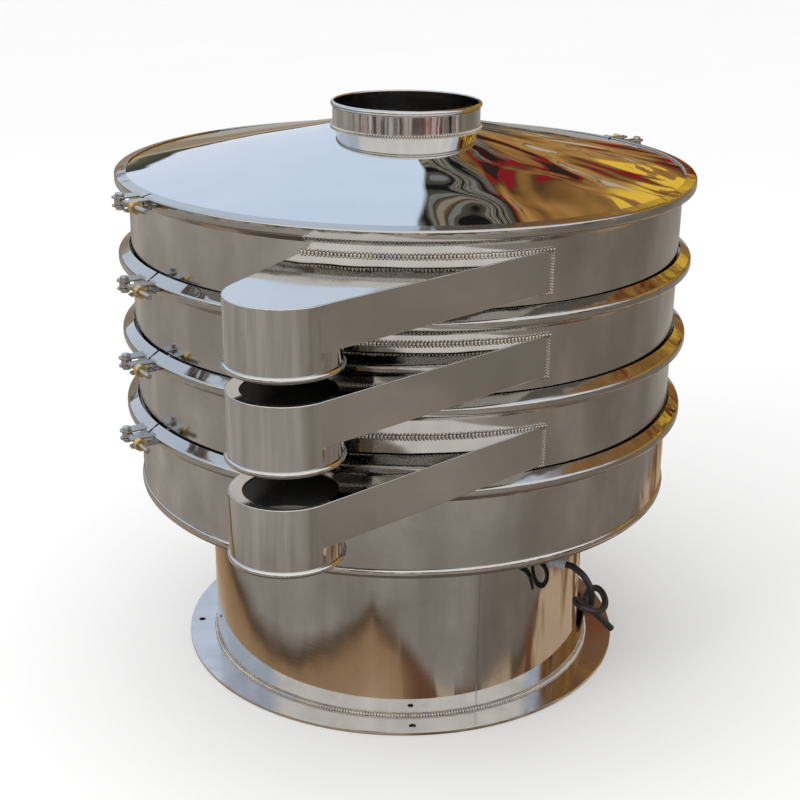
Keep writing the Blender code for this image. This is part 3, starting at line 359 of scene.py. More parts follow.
def smooth_route(points, steps):
    """Points on a smooth curve that passes through every route point."""
    ends = [2 * points[0] - points[1], *points, 2 * points[-1] - points[-2]]
    route = []
    for before, start, end, after in zip(ends, ends[1:], ends[2:], ends[3:]):
        for step in range(steps):
            t = step / steps
            route.append(0.5 * (
                2 * start + (end - before) * t + (2 * before - 5 * start + 4 * end - after) * t ** 2
                + (3 * start - before - 3 * end + after) * t ** 3
            ))
    return [*route, points[-1]]


def soft_material(name, colour, spread, roughness, grain, relief, metallic=0.0, seed=0.0):
    """A dull surface: its colour drifts a little and a fine grain roughens it."""
    material, n, spot = new_material(name)
    place = n.mapping(spot, (seed, seed / 2, seed / 3))
    fine = n.noise(place, grain, 3.0)
    darker = [channel * (1 - spread) for channel in colour]
    lighter = [min(1.0, channel * (1 + spread)) for channel in colour]
    drift = n.ramp(n.noise(place, 14.0, 4.0), (0.30, darker), (0.70, lighter))
    rough = n.span(fine, 0.30, 0.70, roughness - 0.08, roughness + 0.08)
    return dressed(material, drift, rough, n.bump(fine, relief, 0.6), metallic)


def finish_piece(piece, body, nodes=()):
    """Puts a finished piece on the body it rides on and hides the CAD nodes it stands for."""
    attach(piece, body)
    if nodes:
        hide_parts(*nodes)
    return piece


def smoothed(data, sharp):
    """Smooth faces, but for the folds sharper than that many degrees."""
    data.shade_smooth()
    data.set_sharp_from_angle(angle=math.radians(sharp))
    return data


def show(name, data, material, body, nodes=(), sharp=30.0):
    """Puts a finished mesh on show. Without a material it keeps its own."""
    if material is not None:
        data.materials.clear()
        data.materials.append(material)
    return finish_piece(new_object(name, smoothed(data, sharp)), body, nodes)


def stand_in(node, suffix, data, material, body="sieve_body", sharp=30.0):
    """Puts the finished form of one CAD node on show."""
    return show(f"{node}_{suffix}", data, material, body, [node], sharp)


gland_out = azimuth_point(1.0, GLAND_AZIMUTH)
gland_side = azimuth_point(GLAND_SIDE_SHIFT, GLAND_AZIMUTH + 90)
gland_seat = azimuth_point(GLAND_FLAT_RADIUS, GLAND_AZIMUTH, GLAND_LEVEL) + gland_side
cable_exit = gland_seat + gland_out * (GLAND_MOUTH + CABLE_GAP)
cable_start = [cable_exit + gland_out * CABLE_RADIUS * step for step in range(3)]
cable_line = smooth_route(cable_start + [Vector(point) for point in CABLE_ROUTE], CABLE_STEPS_PER_SPAN)
cable_curve = bpy.data.curves.new("power_cable_dressed", "CURVE")
cable_curve.dimensions = "3D"
cable_curve.bevel_depth = CABLE_RADIUS
cable_curve.bevel_resolution = 6
cable_curve.use_fill_caps = True
cable_spline = cable_curve.splines.new("POLY")
cable_spline.points.add(len(cable_line) - 1)
for spline_point, place in zip(cable_spline.points, cable_line):
    spline_point.co = (*place, 1)
cable_curve.materials.append(
    soft_material("cable_rubber", (0.016, 0.0155, 0.015), 0.35, 0.42, 260.0, 0.0004, seed=1.0)
)
cable = finish_piece(new_object("power_cable_dressed", cable_curve), "base", ["power_cable"])


def mesh_of(bm, name="piece"):
    """Turns the edited mesh into a plain one with its faces outwards."""
    bmesh.ops.recalc_face_normals(bm, faces=bm.faces)
    data = bpy.data.meshes.new(name)
    bm.to_mesh(data)
    bm.free()
    return data


tail = cable_line[-1]
tail_way = (tail - cable_line[-2]).normalized()
tail_turn = tail_way.to_track_quat("Z", "Y")
cores = bmesh.new()
for index in range(CORE_COUNT):
    angle = 2 * math.pi * index / CORE_COUNT
    core_line = tail + tail_turn @ Vector((CORE_CIRCLE * math.cos(angle), CORE_CIRCLE * math.sin(angle), 0))
    start, end = core_line - tail_way * CORE_HIDDEN, core_line + tail_way * CORE_BARE
    turn = (end - start).to_track_quat("Z", "Y").to_matrix().to_4x4()
    bmesh.ops.create_cone(
        cores, cap_ends=True, segments=CORE_SIDES, radius1=CORE_RADIUS, radius2=CORE_RADIUS,
        depth=(end - start).length, matrix=Matrix.Translation((start + end) / 2) @ turn,
    )
core_copper = soft_material("core_copper", (0.55, 0.30, 0.16), 0.2, 0.42, 900.0, 0.0002, 0.9)
cable_cores = show("cable_cores", mesh_of(cores), core_copper, "base")


# Base flange: a flat ring of 6 mm stainless plate, cut round, drilled for four anchors and
# polished. The base shell stands on it and is welded all the way round.
RING_SIDES = 192
BASE_RADIUS = 0.372
BASE_SHEET = 0.003
BASE_FLANGE_RADIUS = 0.427
BASE_FLANGE_BORE = 0.330
BASE_FLANGE_TOP = 0.006
ANCHOR_CIRCLE = 0.405
ANCHOR_RADIUS = 0.0065
ANCHOR_AZIMUTH = 3.3
ANCHOR_COUNT = 4
GAP = 0.0003
OVERRUN = 0.010
BASE_WELD = (0.0052, 0.0042)
BASE_WELD_OFF = (0.0022, 0.0016)
HOLD_SHARE = 0.6
HOLD_FROM = 5.0


def eased(profile, setback=0.0010, steps=3):
    """A closed loop of (radius, level) points with its corners rounded, as bent sheet has them.

    A third number in a point is that corner's own setback. One more point beside each end of a
    rounding keeps the flat next to it flat in the shading.
    """
    loop = []
    for index, corner in enumerate(profile):
        here = Vector(corner[:2])
        reach = corner[2] if len(corner) > 2 else setback
        if here.x == 0 or reach == 0:
            loop.append(here)
            continue
        to_last = Vector(profile[index - 1][:2]) - here
        to_next = Vector(profile[(index + 1) % len(profile)][:2]) - here
        start = here + to_last.normalized() * min(reach, to_last.length * 0.45)
        end = here + to_next.normalized() * min(reach, to_next.length * 0.45)
        if to_last.length > HOLD_FROM * reach:
            loop.append(start + (start - here) * HOLD_SHARE)
        for step in range(steps + 1):
            t = step / steps
            loop.append(start * (1 - t) ** 2 + here * 2 * t * (1 - t) + end * t ** 2)
        if to_next.length > HOLD_FROM * reach:
            loop.append(end + (end - here) * HOLD_SHARE)
    return [tuple(point) for point in loop]


def lathe(profile, sides=RING_SIDES, start=0.0, sweep=None, centre=(0.0, 0.0)):
    """A solid of revolution of a closed loop of (radius, level) points, or an arc of one."""
    closed = sweep is None
    count = sides if closed else sides + 1
    angles = [start + (2 * math.pi if closed else sweep) * index / sides for index in range(count)]
    bm = bmesh.new()
    rings = []
    for radius, level in profile:
        if radius == 0:
            rings.append([bm.verts.new((*centre, level))] * count)
        else:
            rings.append([
                bm.verts.new((centre[0] + radius * math.cos(a), centre[1] + radius * math.sin(a), level))
                for a in angles
            ])
    for ring, next_ring in zip(rings, rings[1:] + rings[:1]):
        for index in range(sides):
            after = (index + 1) % count
            corners = list(dict.fromkeys((ring[index], ring[after], next_ring[after], next_ring[index])))
            if len(corners) > 2:
                bm.faces.new(corners)
    if not closed:
        bm.faces.new([ring[0] for ring in rings])
        bm.faces.new([ring[-1] for ring in rings])
    return mesh_of(bm)


def plate(outline, low, high, ease=0.0006, steps=2):
    """A flat plate of that plan, its top and bottom edges rounded a little."""
    count = len(outline)
    points = [Vector(point) for point in outline]
    area = sum(a.x * b.y - b.x * a.y for a, b in zip(points, points[1:] + points[:1]))
    turn = 1 if area > 0 else -1
    inward = []
    for index, point in enumerate(points):
        before = (point - points[index - 1]).normalized()
        after = (points[(index + 1) % count] - point).normalized()
        normal_before = Vector((-before.y, before.x)) * turn
        normal_after = Vector((-after.y, after.x)) * turn
        middle = (normal_before + normal_after).normalized()
        inward.append(middle / max(0.35, middle.dot(normal_before)))
    layers = []
    for step in range(steps + 1):
        angle = math.pi / 2 * step / steps
        layers.append((low + ease * (1 - math.sin(angle)), ease * (1 - math.cos(angle))))
    held = ease * (1 + HOLD_SHARE)
    layers = [(low, held), *sorted(layers)]
    if high - low > 2 * held + ease:
        layers.append((low + held, 0))
    layers += [(high + low - level, inset) for level, inset in reversed(layers)]
    bm = bmesh.new()
    rings = [
        [bm.verts.new((*(point + way * inset), level)) for point, way in zip(points, inward)]
        for level, inset in layers
    ]
    for ring, next_ring in zip(rings, rings[1:]):
        for index in range(count):
            after = (index + 1) % count
            bm.faces.new((ring[index], ring[after], next_ring[after], next_ring[index]))
    bm.faces.new(rings[0])
    bm.faces.new(rings[-1])
    return mesh_of(bm)


def settled(holder):
    """The mesh that an object's modifiers make. The object goes."""
    data = bpy.data.meshes.new_from_object(holder.evaluated_get(bpy.context.evaluated_depsgraph_get()))
    bpy.data.objects.remove(holder)
    return data


def carved(data, cutters, operation="DIFFERENCE"):
    """The mesh with the other meshes taken from it, or joined to it."""
    holder = new_object("holder", data)
    helpers = [new_object("cutter", cutter) for cutter in cutters]
    for helper in helpers:
        modifier = holder.modifiers.new("cut", "BOOLEAN")
        modifier.operation = operation
        modifier.object = helper
    made = settled(holder)
    for helper in helpers:
        bpy.data.objects.remove(helper)
    return made


def second_finish(data):
    """Gives all the faces the second finish of their piece. A cut takes its cutter's finish."""
    for face in data.polygons:
        face.material_index = 1
    return data


def with_finishes(data, first, second):
    """Gives a mesh without finishes its first and its second one."""
    data.materials.append(first)
    data.materials.append(second)
    return data


def round_bar(radius, low, high, centre=(0.0, 0.0), sides=48, ease=0.0):
    return lathe(eased([(0, low), (radius, low), (radius, high), (0, high)], ease), sides, centre=centre)


def steel(name, colour, smooth, dull, wave, wave_size, grain, seed, seam=None, tint=0.0):
    """Polished sheet: broad waves warp what it mirrors, and haze and polishing lines soften it.

    A seam is the azimuth in degrees of an upright weld that was ground flush. A tint is the share
    of the heat colours beside a weld.
    """
    material, n, spot = new_material(name)
    x, y, z = n.split(spot)
    azimuth = n.math("ARCTAN2", x, n.product(y, -1.0))
    unrolled = n.join(n.product(azimuth, BASE_RADIUS), n.vector_math("LENGTH", spot)["Value"], z)
    placed = n.mapping(spot, (seed, seed * 0.7, seed * 0.3))
    haze = n.noise(placed, 11.0, 6.0, 0.62)
    runs = n.noise(n.mapping(unrolled, (seed, seed, seed), (26.0, 9.0, 7.0)), 1.0, 3.0)
    lines = n.noise(n.mapping(unrolled, scale=(14.0, 700.0, 1100.0)), 1.0)
    mixed = n.blend(0.35, haze, runs)
    rough = n.span(mixed, 0.38, 0.66, smooth, dull)
    base = n.ramp(mixed, (0.34, colour), (0.70, [channel * 0.78 for channel in colour]))
    if tint:
        heat = n.ramp(
            haze, (0.36, (0.62, 0.58, 0.52)), (0.46, (0.60, 0.50, 0.34)), (0.54, (0.42, 0.30, 0.26)),
            (0.62, (0.32, 0.34, 0.44)), (0.70, (0.60, 0.59, 0.57)),
        )
        base = n.blend(tint, base, heat)
    if seam is not None:
        off = n.math("ABSOLUTE", n.math("SUBTRACT", azimuth, math.radians(seam)))
        mark = n.span(off, 0.0042, 0.0016)
        base = n.blend(n.product(mark, 0.45), base, (0.16, 0.14, 0.12, 1.0))
        rough = n.math("MULTIPLY_ADD", mark, 0.25, rough)
    broad = n.bump(n.noise(placed, 1 / wave_size, 1.5, 0.45), wave)
    return dressed(material, base, rough, n.bump(lines, grain, over=broad), 1.0)


def mirror(name, colour, smooth, dull, wave, wave_size, seed):
    """Mirror-polished sheet: almost clean, its broad waves warp what it mirrors."""
    material, n, spot = new_material(name)
    placed = n.mapping(spot, (seed, seed * 0.7, seed * 0.3))
    haze = n.noise(placed, 5.0, 5.0, 0.55)
    base = n.ramp(haze, (0.35, colour), (0.68, [channel * 0.93 for channel in colour]))
    relief = n.bump(n.noise(placed, 1 / wave_size, 1.0, 0.4), wave)
    return dressed(material, base, n.span(haze, 0.40, 0.70, smooth, dull), relief, 1.0)


def growing_tree(name, **fields):
    """A node group that makes geometry along a path, with its own named inputs."""
    tree = bpy.data.node_groups.new(name, "GeometryNodeTree")
    for label, kind in {"Path": "Geometry", **fields, "Metal": "Material"}.items():
        tree.interface.new_socket(label, in_out="INPUT", socket_type="NodeSocket" + kind)
    tree.interface.new_socket("Geometry", in_out="OUTPUT", socket_type="NodeSocketGeometry")
    n = Wiring(tree)
    given = n.node("NodeGroupInput").outputs
    return n, given, n.node("GeometryNodeMeshToCurve", {"Mesh": given["Path"]}).outputs[0]


def finish_tree(n, geometry, given):
    """Closes a growing tree: plain geometry in the metal that it is given."""
    real = n.node("GeometryNodeRealizeInstances", {"Geometry": geometry}).outputs["Geometry"]
    painted = n.node("GeometryNodeSetMaterial", {"Geometry": real, "Material": given["Metal"]})
    n.node("NodeGroupOutput", {"Geometry": painted.outputs["Geometry"]})
    return n.tree


def weld_tree():
    """Overlapping drops of weld metal, evenly laid along a path."""
    n, given, curve = growing_tree("weld_drops", Pitch="Float", Radius="Float", Seed="Int")
    points = n.node("GeometryNodeCurveToPoints", {"Curve": curve, "Length": given["Pitch"]}, mode="LENGTH").outputs
    drop = n.node("GeometryNodeMeshUVSphere", {"Segments": 10, "Rings": 7, "Radius": given["Radius"]})
    uneven = n.node("FunctionNodeRandomValue", {"Seed": given["Seed"]}, data_type="FLOAT_VECTOR")
    uneven.inputs["Min"].default_value = (0.84, 0.88, 0.60)
    uneven.inputs["Max"].default_value = (1.16, 1.12, 0.76)
    laid = n.node("GeometryNodeInstanceOnPoints", {
        "Points": points["Points"], "Instance": drop.outputs["Mesh"], "Rotation": points["Rotation"],
        "Scale": uneven.outputs["Value"],
    })
    return finish_tree(n, laid.outputs["Instances"], given)


def rod_tree():
    """A round bar bent along a path."""
    n, given, curve = growing_tree("bent_rod", Radius="Float", Sides="Int")
    section = n.node("GeometryNodeCurvePrimitiveCircle", {"Resolution": given["Sides"], "Radius": given["Radius"]})
    swept = n.node("GeometryNodeCurveToMesh", {
        "Curve": curve, "Profile Curve": section.outputs["Curve"], "Fill Caps": True,
    })
    return finish_tree(n, swept.outputs["Mesh"], given)


def grown(tree, paths, closed=False, **values):
    """What the tree makes of the paths, as a plain mesh. A path is a list of points."""
    lines = bpy.data.meshes.new("path")
    places, edges = [], []
    for path in paths:
        first = len(places)
        places += [tuple(point) for point in path]
        edges += [(first + index, first + index + 1) for index in range(len(path) - 1)]
        if closed:
            edges.append((len(places) - 1, first))
    lines.from_pydata(places, edges, [])
    holder = new_object("holder", lines)
    modifier = holder.modifiers.new("grow", "NODES")
    modifier.node_group = tree
    for socket in tree.interface.items_tree:
        if socket.in_out == "INPUT" and socket.name in values:
            modifier[socket.identifier] = values[socket.name]
    return settled(holder)


def ring_path(radius, level, start=-180.0, end=180.0, steps=240):
    """A level line round the machine between two azimuths."""
    return [azimuth_point(radius, start + (end - start) * step / steps, level) for step in range(steps + 1)]


WELD_TREE = weld_tree()
ROD_TREE = rod_tree()
weld_steel = steel("weld_steel", (0.74, 0.72, 0.69), 0.08, 0.24, 0.0002, 0.02, 0.00002, 3.0, tint=0.35)


def weld(name, paths, pitch_and_radius, seed, body="sieve_body", closed=False):
    """A rippled weld along each path, as one piece."""
    pitch, radius = pitch_and_radius
    drops = grown(WELD_TREE, paths, closed, Pitch=pitch, Radius=radius, Seed=seed, Metal=weld_steel)
    return show(name, drops, None, body, sharp=180.0)


flange_steel = steel("flange_steel", (0.70, 0.69, 0.68), 0.10, 0.22, 0.0008, 0.12, 0.00002, 5.0)
# The anchor holes' walls are near black: painted shade in the holes.
shaded_hole_wall = soft_material("shaded_hole_wall", (0.045, 0.040, 0.036), 0.3, 0.6, 300.0, 0.0002, 0.5, 6.5)
flange_data = with_finishes(lathe(eased([
    (BASE_FLANGE_BORE, 0), (BASE_FLANGE_RADIUS, 0), (BASE_FLANGE_RADIUS, BASE_FLANGE_TOP),
    (BASE_FLANGE_BORE, BASE_FLANGE_TOP),
], 0.0008)), flange_steel, shaded_hole_wall)
anchor_holes = [
    second_finish(round_bar(
        ANCHOR_RADIUS, -OVERRUN, BASE_FLANGE_TOP + OVERRUN,
        azimuth_point(ANCHOR_CIRCLE, ANCHOR_AZIMUTH + 360 * index / ANCHOR_COUNT).to_2d(),
    ))
    for index in range(ANCHOR_COUNT)
]
stand_in("base_flange", "ring", carved(flange_data, anchor_holes), None, "base")
base_weld_line = ring_path(BASE_RADIUS + BASE_WELD_OFF[0], BASE_FLANGE_TOP + BASE_WELD_OFF[1])[:-1]
weld("base_weld", [base_weld_line], BASE_WELD, 11, "base", closed=True)


# Base shell: 3 mm sheet rolled to a cylinder, its seam ground flush at the right of the front. The
# side slot lets a hand reach the motor's lower weights, and the gland's hole is beside it.
BASE_TOP = 0.300
BASE_SEAM_AZIMUTH = 22.0
WINDOW_AZIMUTH = 83.0
WINDOW_WIDTH = 0.215
WINDOW_BOTTOM = 0.045
WINDOW_TOP = 0.262
WINDOW_CORNER = 0.020
WINDOW_REACH = (0.20, 0.60)
GLAND_HOLE_RADIUS = 0.0104
GLAND_HOLE_HALF = 0.03


def rounded_box(width, height, corner, steps=6):
    """A box outline about its middle with round corners."""
    outline = []
    for quarter, (sx, sy) in enumerate(((1, 1), (-1, 1), (-1, -1), (1, -1))):
        for step in range(steps + 1):
            angle = math.pi / 2 * (quarter + step / steps)
            outline.append((
                sx * (width / 2 - corner) + corner * math.cos(angle),
                sy * (height / 2 - corner) + corner * math.sin(angle),
            ))
    return outline


def facing(azimuth, place=(0, 0, 0)):
    """Turns a mesh's +Z to point outwards at that azimuth, its +Y up."""
    out = azimuth_point(1.0, azimuth)
    turn = Matrix((Vector((0, 0, 1)).cross(out), (0, 0, 1), out)).transposed().to_4x4()
    return Matrix.Translation(place) @ turn


def turned(angle):
    """A turn about the machine's upright axis."""
    return Matrix.Rotation(angle, 4, "Z")


def moved(data, matrix):
    data.transform(matrix)
    return data


base_steel = steel(
    "base_steel", (0.71, 0.69, 0.67), 0.02, 0.07, 0.0009, 0.26, 0.000006, 7.0, seam=BASE_SEAM_AZIMUTH
)
shell_data = lathe(eased([
    (BASE_RADIUS - BASE_SHEET, BASE_FLANGE_TOP + GAP), (BASE_RADIUS, BASE_FLANGE_TOP + GAP),
    (BASE_RADIUS, BASE_TOP), (BASE_RADIUS - BASE_SHEET, BASE_TOP),
], 0.0006))
window = plate(rounded_box(WINDOW_WIDTH, WINDOW_TOP - WINDOW_BOTTOM, WINDOW_CORNER), *WINDOW_REACH)
gland_bore = round_bar(GLAND_HOLE_RADIUS, -GLAND_HOLE_HALF, GLAND_HOLE_HALF, sides=32)
stand_in("base_shell", "round", carved(shell_data, [
    moved(window, facing(WINDOW_AZIMUTH, (0, 0, (WINDOW_BOTTOM + WINDOW_TOP) / 2))),
    moved(gland_bore, facing(GLAND_AZIMUTH, gland_seat)),
]), base_steel, "base")


# Cable gland: a grey plastic gland with a hexagon foot, a ribbed body and a domed cap that grips
# the cable.
GLAND_PROFILE = (
    (0.0062, -0.013), (0.0098, -0.013), (0.0098, -0.0002), (0.0130, 0.0), (0.0130, 0.0058), (0.0112, 0.0060),
    (0.0112, 0.0085), (0.0123, 0.0090), (0.0123, 0.0158), (0.0116, 0.0200), (0.0104, 0.0255),
    (0.0087, 0.0300), (0.0078, 0.0320), (0.0064, 0.0320),
)
GLAND_FOOT_RADIUS = 0.0143
GLAND_FOOT_BORE = 0.0110
GLAND_FOOT_HEIGHT = 0.0056
GLAND_RIB = ((0.0115, -0.0005), (0.0126, -0.0004), (0.0126, 0.0004), (0.0115, 0.0005))
GLAND_RIB_LEVELS = (0.0092, 0.0156)
GLAND_RIB_COUNT = 18
grey_plastic = soft_material("gland_plastic", (0.27, 0.285, 0.295), 0.12, 0.42, 500.0, 0.00015, seed=2.0)


def hexagon(radius):
    return [(radius * math.cos(math.pi * side / 3), radius * math.sin(math.pi * side / 3)) for side in range(6)]


def joined(meshes):
    """Several meshes as one."""
    bm = bmesh.new()
    for data in meshes:
        bm.from_mesh(data)
    return mesh_of(bm)


gland_foot = plate(hexagon(GLAND_FOOT_RADIUS), 0.0, GLAND_FOOT_HEIGHT, 0.0004)
gland_ribs = [
    moved(plate(GLAND_RIB, *GLAND_RIB_LEVELS, 0.0002), turned(2 * math.pi * index / GLAND_RIB_COUNT))
    for index in range(GLAND_RIB_COUNT)
]
gland_data = joined([
    lathe(eased(GLAND_PROFILE, 0.0004, 2), 48),
    carved(gland_foot, [round_bar(GLAND_FOOT_BORE, -OVERRUN, 2 * OVERRUN)]), *gland_ribs,
])
stand_in("cable_gland", "ribbed", moved(gland_data, facing(GLAND_AZIMUTH, gland_seat)), grey_plastic, "base")


# Spring deck: a flat 6 mm ring welded inside the top of the base, with a locating peg for each
# spring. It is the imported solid, in a satin steel.
def satin(name, colour, rough, seed):
    """Mill-finish or brushed steel."""
    return soft_material(name, colour, 0.10, rough, 420.0, 0.00008, 1.0, seed)


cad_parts["spring_deck"].data.materials[0] = satin("deck_steel", (0.46, 0.45, 0.44), 0.40, 4.0)


# Springs: six closed-end coil springs of 9 mm wire between the deck and the vibrating plate.
SPRING_COUNT = 6
SPRING_AZIMUTH = 30.0
SPRING_CIRCLE = 0.322
SPRING_RADIUS = 0.026
SPRING_WIRE = 0.0045
SPRING_TURNS = 4.5
SPRING_END_TURNS = 0.75
SPRING_STEPS = 28
DECK_TOP = 0.296
PLATE_BOTTOM = 0.388
spring_steel = soft_material("black_spring_steel", (0.035, 0.035, 0.038), 0.3, 0.38, 300.0, 0.0001, 0.4, 6.0)
spring_centres = [
    azimuth_point(SPRING_CIRCLE, SPRING_AZIMUTH + 360 * index / SPRING_COUNT) for index in range(SPRING_COUNT)
]


def spring_path(centre):
    """The wire's middle line: the coils close up at both ends."""
    low, high = DECK_TOP + SPRING_WIRE, PLATE_BOTTOM - SPRING_WIRE
    flat_rise = 2 * SPRING_WIRE * SPRING_END_TURNS
    rise = (high - low - 2 * flat_rise) / (SPRING_TURNS - 2 * SPRING_END_TURNS)
    count = int(SPRING_TURNS * SPRING_STEPS)
    path = []
    for step in range(count + 1):
        turns = SPRING_TURNS * step / count
        if turns < SPRING_END_TURNS:
            level = low + 2 * SPRING_WIRE * turns
        elif turns > SPRING_TURNS - SPRING_END_TURNS:
            level = high - 2 * SPRING_WIRE * (SPRING_TURNS - turns)
        else:
            level = low + flat_rise + rise * (turns - SPRING_END_TURNS)
        angle = 2 * math.pi * turns
        path.append(centre + Vector((SPRING_RADIUS * math.cos(angle), SPRING_RADIUS * math.sin(angle), level)))
    return path


for number, centre in enumerate(spring_centres, 1):
    coil = grown(ROD_TREE, [spring_path(centre)], Radius=SPRING_WIRE, Sides=12, Metal=spring_steel)
    coil_piece = new_object(f"spring_coil_{number}", smoothed(coil, 60))
    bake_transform(coil_piece)
    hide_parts(f"spring_{number}")


# Vibrating plate: an 8 mm satin steel disc welded inside the bottom frame. It carries the motor
# and stands on the springs, whose upper ends sit on pegs.
SHELL_RADIUS = 0.500
SHELL_BORE = 0.497
PLATE_TOP = 0.396
PLATE_BORE = 0.094
PEG_RADIUS = 0.019
PEG_HEIGHT = 0.010
PEG_ROOT = 0.004
plate_steel = satin("plate_steel", (0.48, 0.47, 0.46), 0.36, 5.0)
plate_disc = lathe(eased([
    (SHELL_BORE - GAP, PLATE_TOP), (SHELL_BORE - GAP, PLATE_BOTTOM), (PLATE_BORE, PLATE_BOTTOM),
    (PLATE_BORE, PLATE_TOP),
], 0.0008))
pegs = [
    round_bar(PEG_RADIUS, PLATE_BOTTOM - PEG_HEIGHT, PLATE_BOTTOM + PEG_ROOT, centre.to_2d(), 48, 0.0012)
    for centre in spring_centres
]
stand_in("vibrating_plate", "round", joined([plate_disc, *pegs]), plate_steel)


# Vibration motor: a ribbed cast housing bolted up under the vibrating plate, its neck through the
# plate's hole. The terminal box is on its side.
MOTOR_CORE = 0.082
MOTOR_NECK = 0.089
MOTOR_FLANGE = 0.135
MOTOR_TOP = 0.422
MOTOR_FLANGE_TOP = 0.3877
MOTOR_FLANGE_BOTTOM = 0.3737
MOTOR_BOTTOM = 0.1687
MOTOR_END = 0.060
MOTOR_SHOULDER = 0.018
MOTOR_BOLT_CIRCLE = 0.122
MOTOR_BOLT_COUNT = 8
MOTOR_BOLT_RADIUS = 0.0095
SHAFT_RADIUS = 0.015
SHAFT_GAP = 0.0004
FIN_REACH = 0.096
FIN_ROOT = MOTOR_CORE - 0.004
FIN_HALF = 0.0025
FIN_TIP_HALF = 0.0015
FIN_COUNT = 24
FINS_LEFT_OUT = 2
FIN_LOW = MOTOR_BOTTOM + 0.030
FIN_HIGH = MOTOR_FLANGE_BOTTOM - 0.012
BOLT_HEAD_HEIGHT = 0.007
BOLT_HEAD_SINK = 0.001
TERMINAL_AZIMUTH = 45.0
TERMINAL_PAD = (0.060, 0.070, 0.005)
TERMINAL_PAD_ROOT = 0.07
TERMINAL_BOX = (0.074, 0.086, 0.006)
TERMINAL_BOX_DEPTHS = (0.0963, 0.1320)
TERMINAL_LID_DEPTHS = (0.1325, 0.1428)
LID_SCREW_RADIUS = 0.0030
LID_SCREW_PLACE = (0.030, 0.036)
LID_SCREW_DEPTHS = (0.1420, 0.1442)
cast_paint = soft_material("cast_paint", (0.10, 0.135, 0.165), 0.18, 0.48, 160.0, 0.0006, 0.0, 8.0)
terminal_place = facing(TERMINAL_AZIMUTH, (0, 0, (FIN_LOW + FIN_HIGH) / 2))
motor_parts = [lathe(eased([
    (SHAFT_RADIUS + SHAFT_GAP, MOTOR_TOP), (MOTOR_END, MOTOR_TOP, 0.004),
    (MOTOR_NECK, MOTOR_TOP - MOTOR_SHOULDER, 0.004), (MOTOR_NECK, MOTOR_FLANGE_TOP),
    (MOTOR_FLANGE, MOTOR_FLANGE_TOP, 0.002), (MOTOR_FLANGE, MOTOR_FLANGE_BOTTOM, 0.003),
    (MOTOR_CORE, MOTOR_FLANGE_BOTTOM, 0.006), (MOTOR_CORE, MOTOR_BOTTOM + MOTOR_SHOULDER, 0.004),
    (MOTOR_END, MOTOR_BOTTOM, 0.004), (SHAFT_RADIUS + SHAFT_GAP, MOTOR_BOTTOM),
], 0.001), 96)]
fin_outline = [(FIN_ROOT, -FIN_HALF), (FIN_REACH, -FIN_TIP_HALF), (FIN_REACH, FIN_TIP_HALF), (FIN_ROOT, FIN_HALF)]
# The fins on both sides of the terminal box are left out, to make room for its pad.
for index in range(FINS_LEFT_OUT, FIN_COUNT - FINS_LEFT_OUT):
    angle = math.radians(TERMINAL_AZIMUTH + 360 * (index + 0.5) / FIN_COUNT) - math.pi / 2
    motor_parts.append(moved(plate(fin_outline, FIN_LOW, FIN_HIGH, 0.001), turned(angle)))
motor_parts.append(moved(plate(rounded_box(*TERMINAL_PAD), TERMINAL_PAD_ROOT, FIN_REACH, 0.001), terminal_place))
for index in range(MOTOR_BOLT_COUNT):
    centre = azimuth_point(MOTOR_BOLT_CIRCLE, 360 * (index + 0.5) / MOTOR_BOLT_COUNT)
    bolt_levels = MOTOR_FLANGE_BOTTOM - BOLT_HEAD_HEIGHT, MOTOR_FLANGE_BOTTOM + BOLT_HEAD_SINK
    bolt_head = plate(hexagon(MOTOR_BOLT_RADIUS), *bolt_levels, 0.0008)
    motor_parts.append(moved(bolt_head, Matrix.Translation(centre)))
stand_in("motor_housing", "ribbed", joined(motor_parts), cast_paint)
box_outline = rounded_box(*TERMINAL_BOX)
box_parts = [plate(box_outline, *TERMINAL_BOX_DEPTHS, 0.0015, 3), plate(box_outline, *TERMINAL_LID_DEPTHS, 0.0020, 3)]
for sx, sy in ((-1, -1), (-1, 1), (1, -1), (1, 1)):
    screw_place = (sx * LID_SCREW_PLACE[0], sy * LID_SCREW_PLACE[1])
    box_parts.append(round_bar(LID_SCREW_RADIUS, *LID_SCREW_DEPTHS, screw_place, 20, 0.0005))
stand_in("terminal_box", "lidded", moved(joined(box_parts), terminal_place), cast_paint)


# Rotor: the shaft with a half-round weight at each end, and below them the phase weight that is
# turned on the shaft to set the throw.
WEIGHT_RADIUS = 0.080
WEIGHT_HUB = 0.027
WEIGHT_SPREAD = math.radians(80.0)
WEIGHT_THICKNESS = 0.022
WEIGHT_LEVELS = {"upper_weight": 0.425, "lower_weight": 0.1437, "phase_weight": 0.1214}
WEIGHT_BORE = 0.0156
WEIGHT_BORE_LEVELS = (0.05, 0.50)
SHAFT_LEVELS = (0.1184, 0.450)
weight_steel = satin("weight_finish", (0.20, 0.20, 0.21), 0.46, 9.0)
shaft_steel = satin("shaft_steel", (0.42, 0.42, 0.42), 0.28, 10.0)


def arc(radius, start, end, steps):
    """Points on a circle about the origin, from one angle to another."""
    angles = [start + (end - start) * step / steps for step in range(steps + 1)]
    return [(radius * math.cos(angle), radius * math.sin(angle)) for angle in angles]


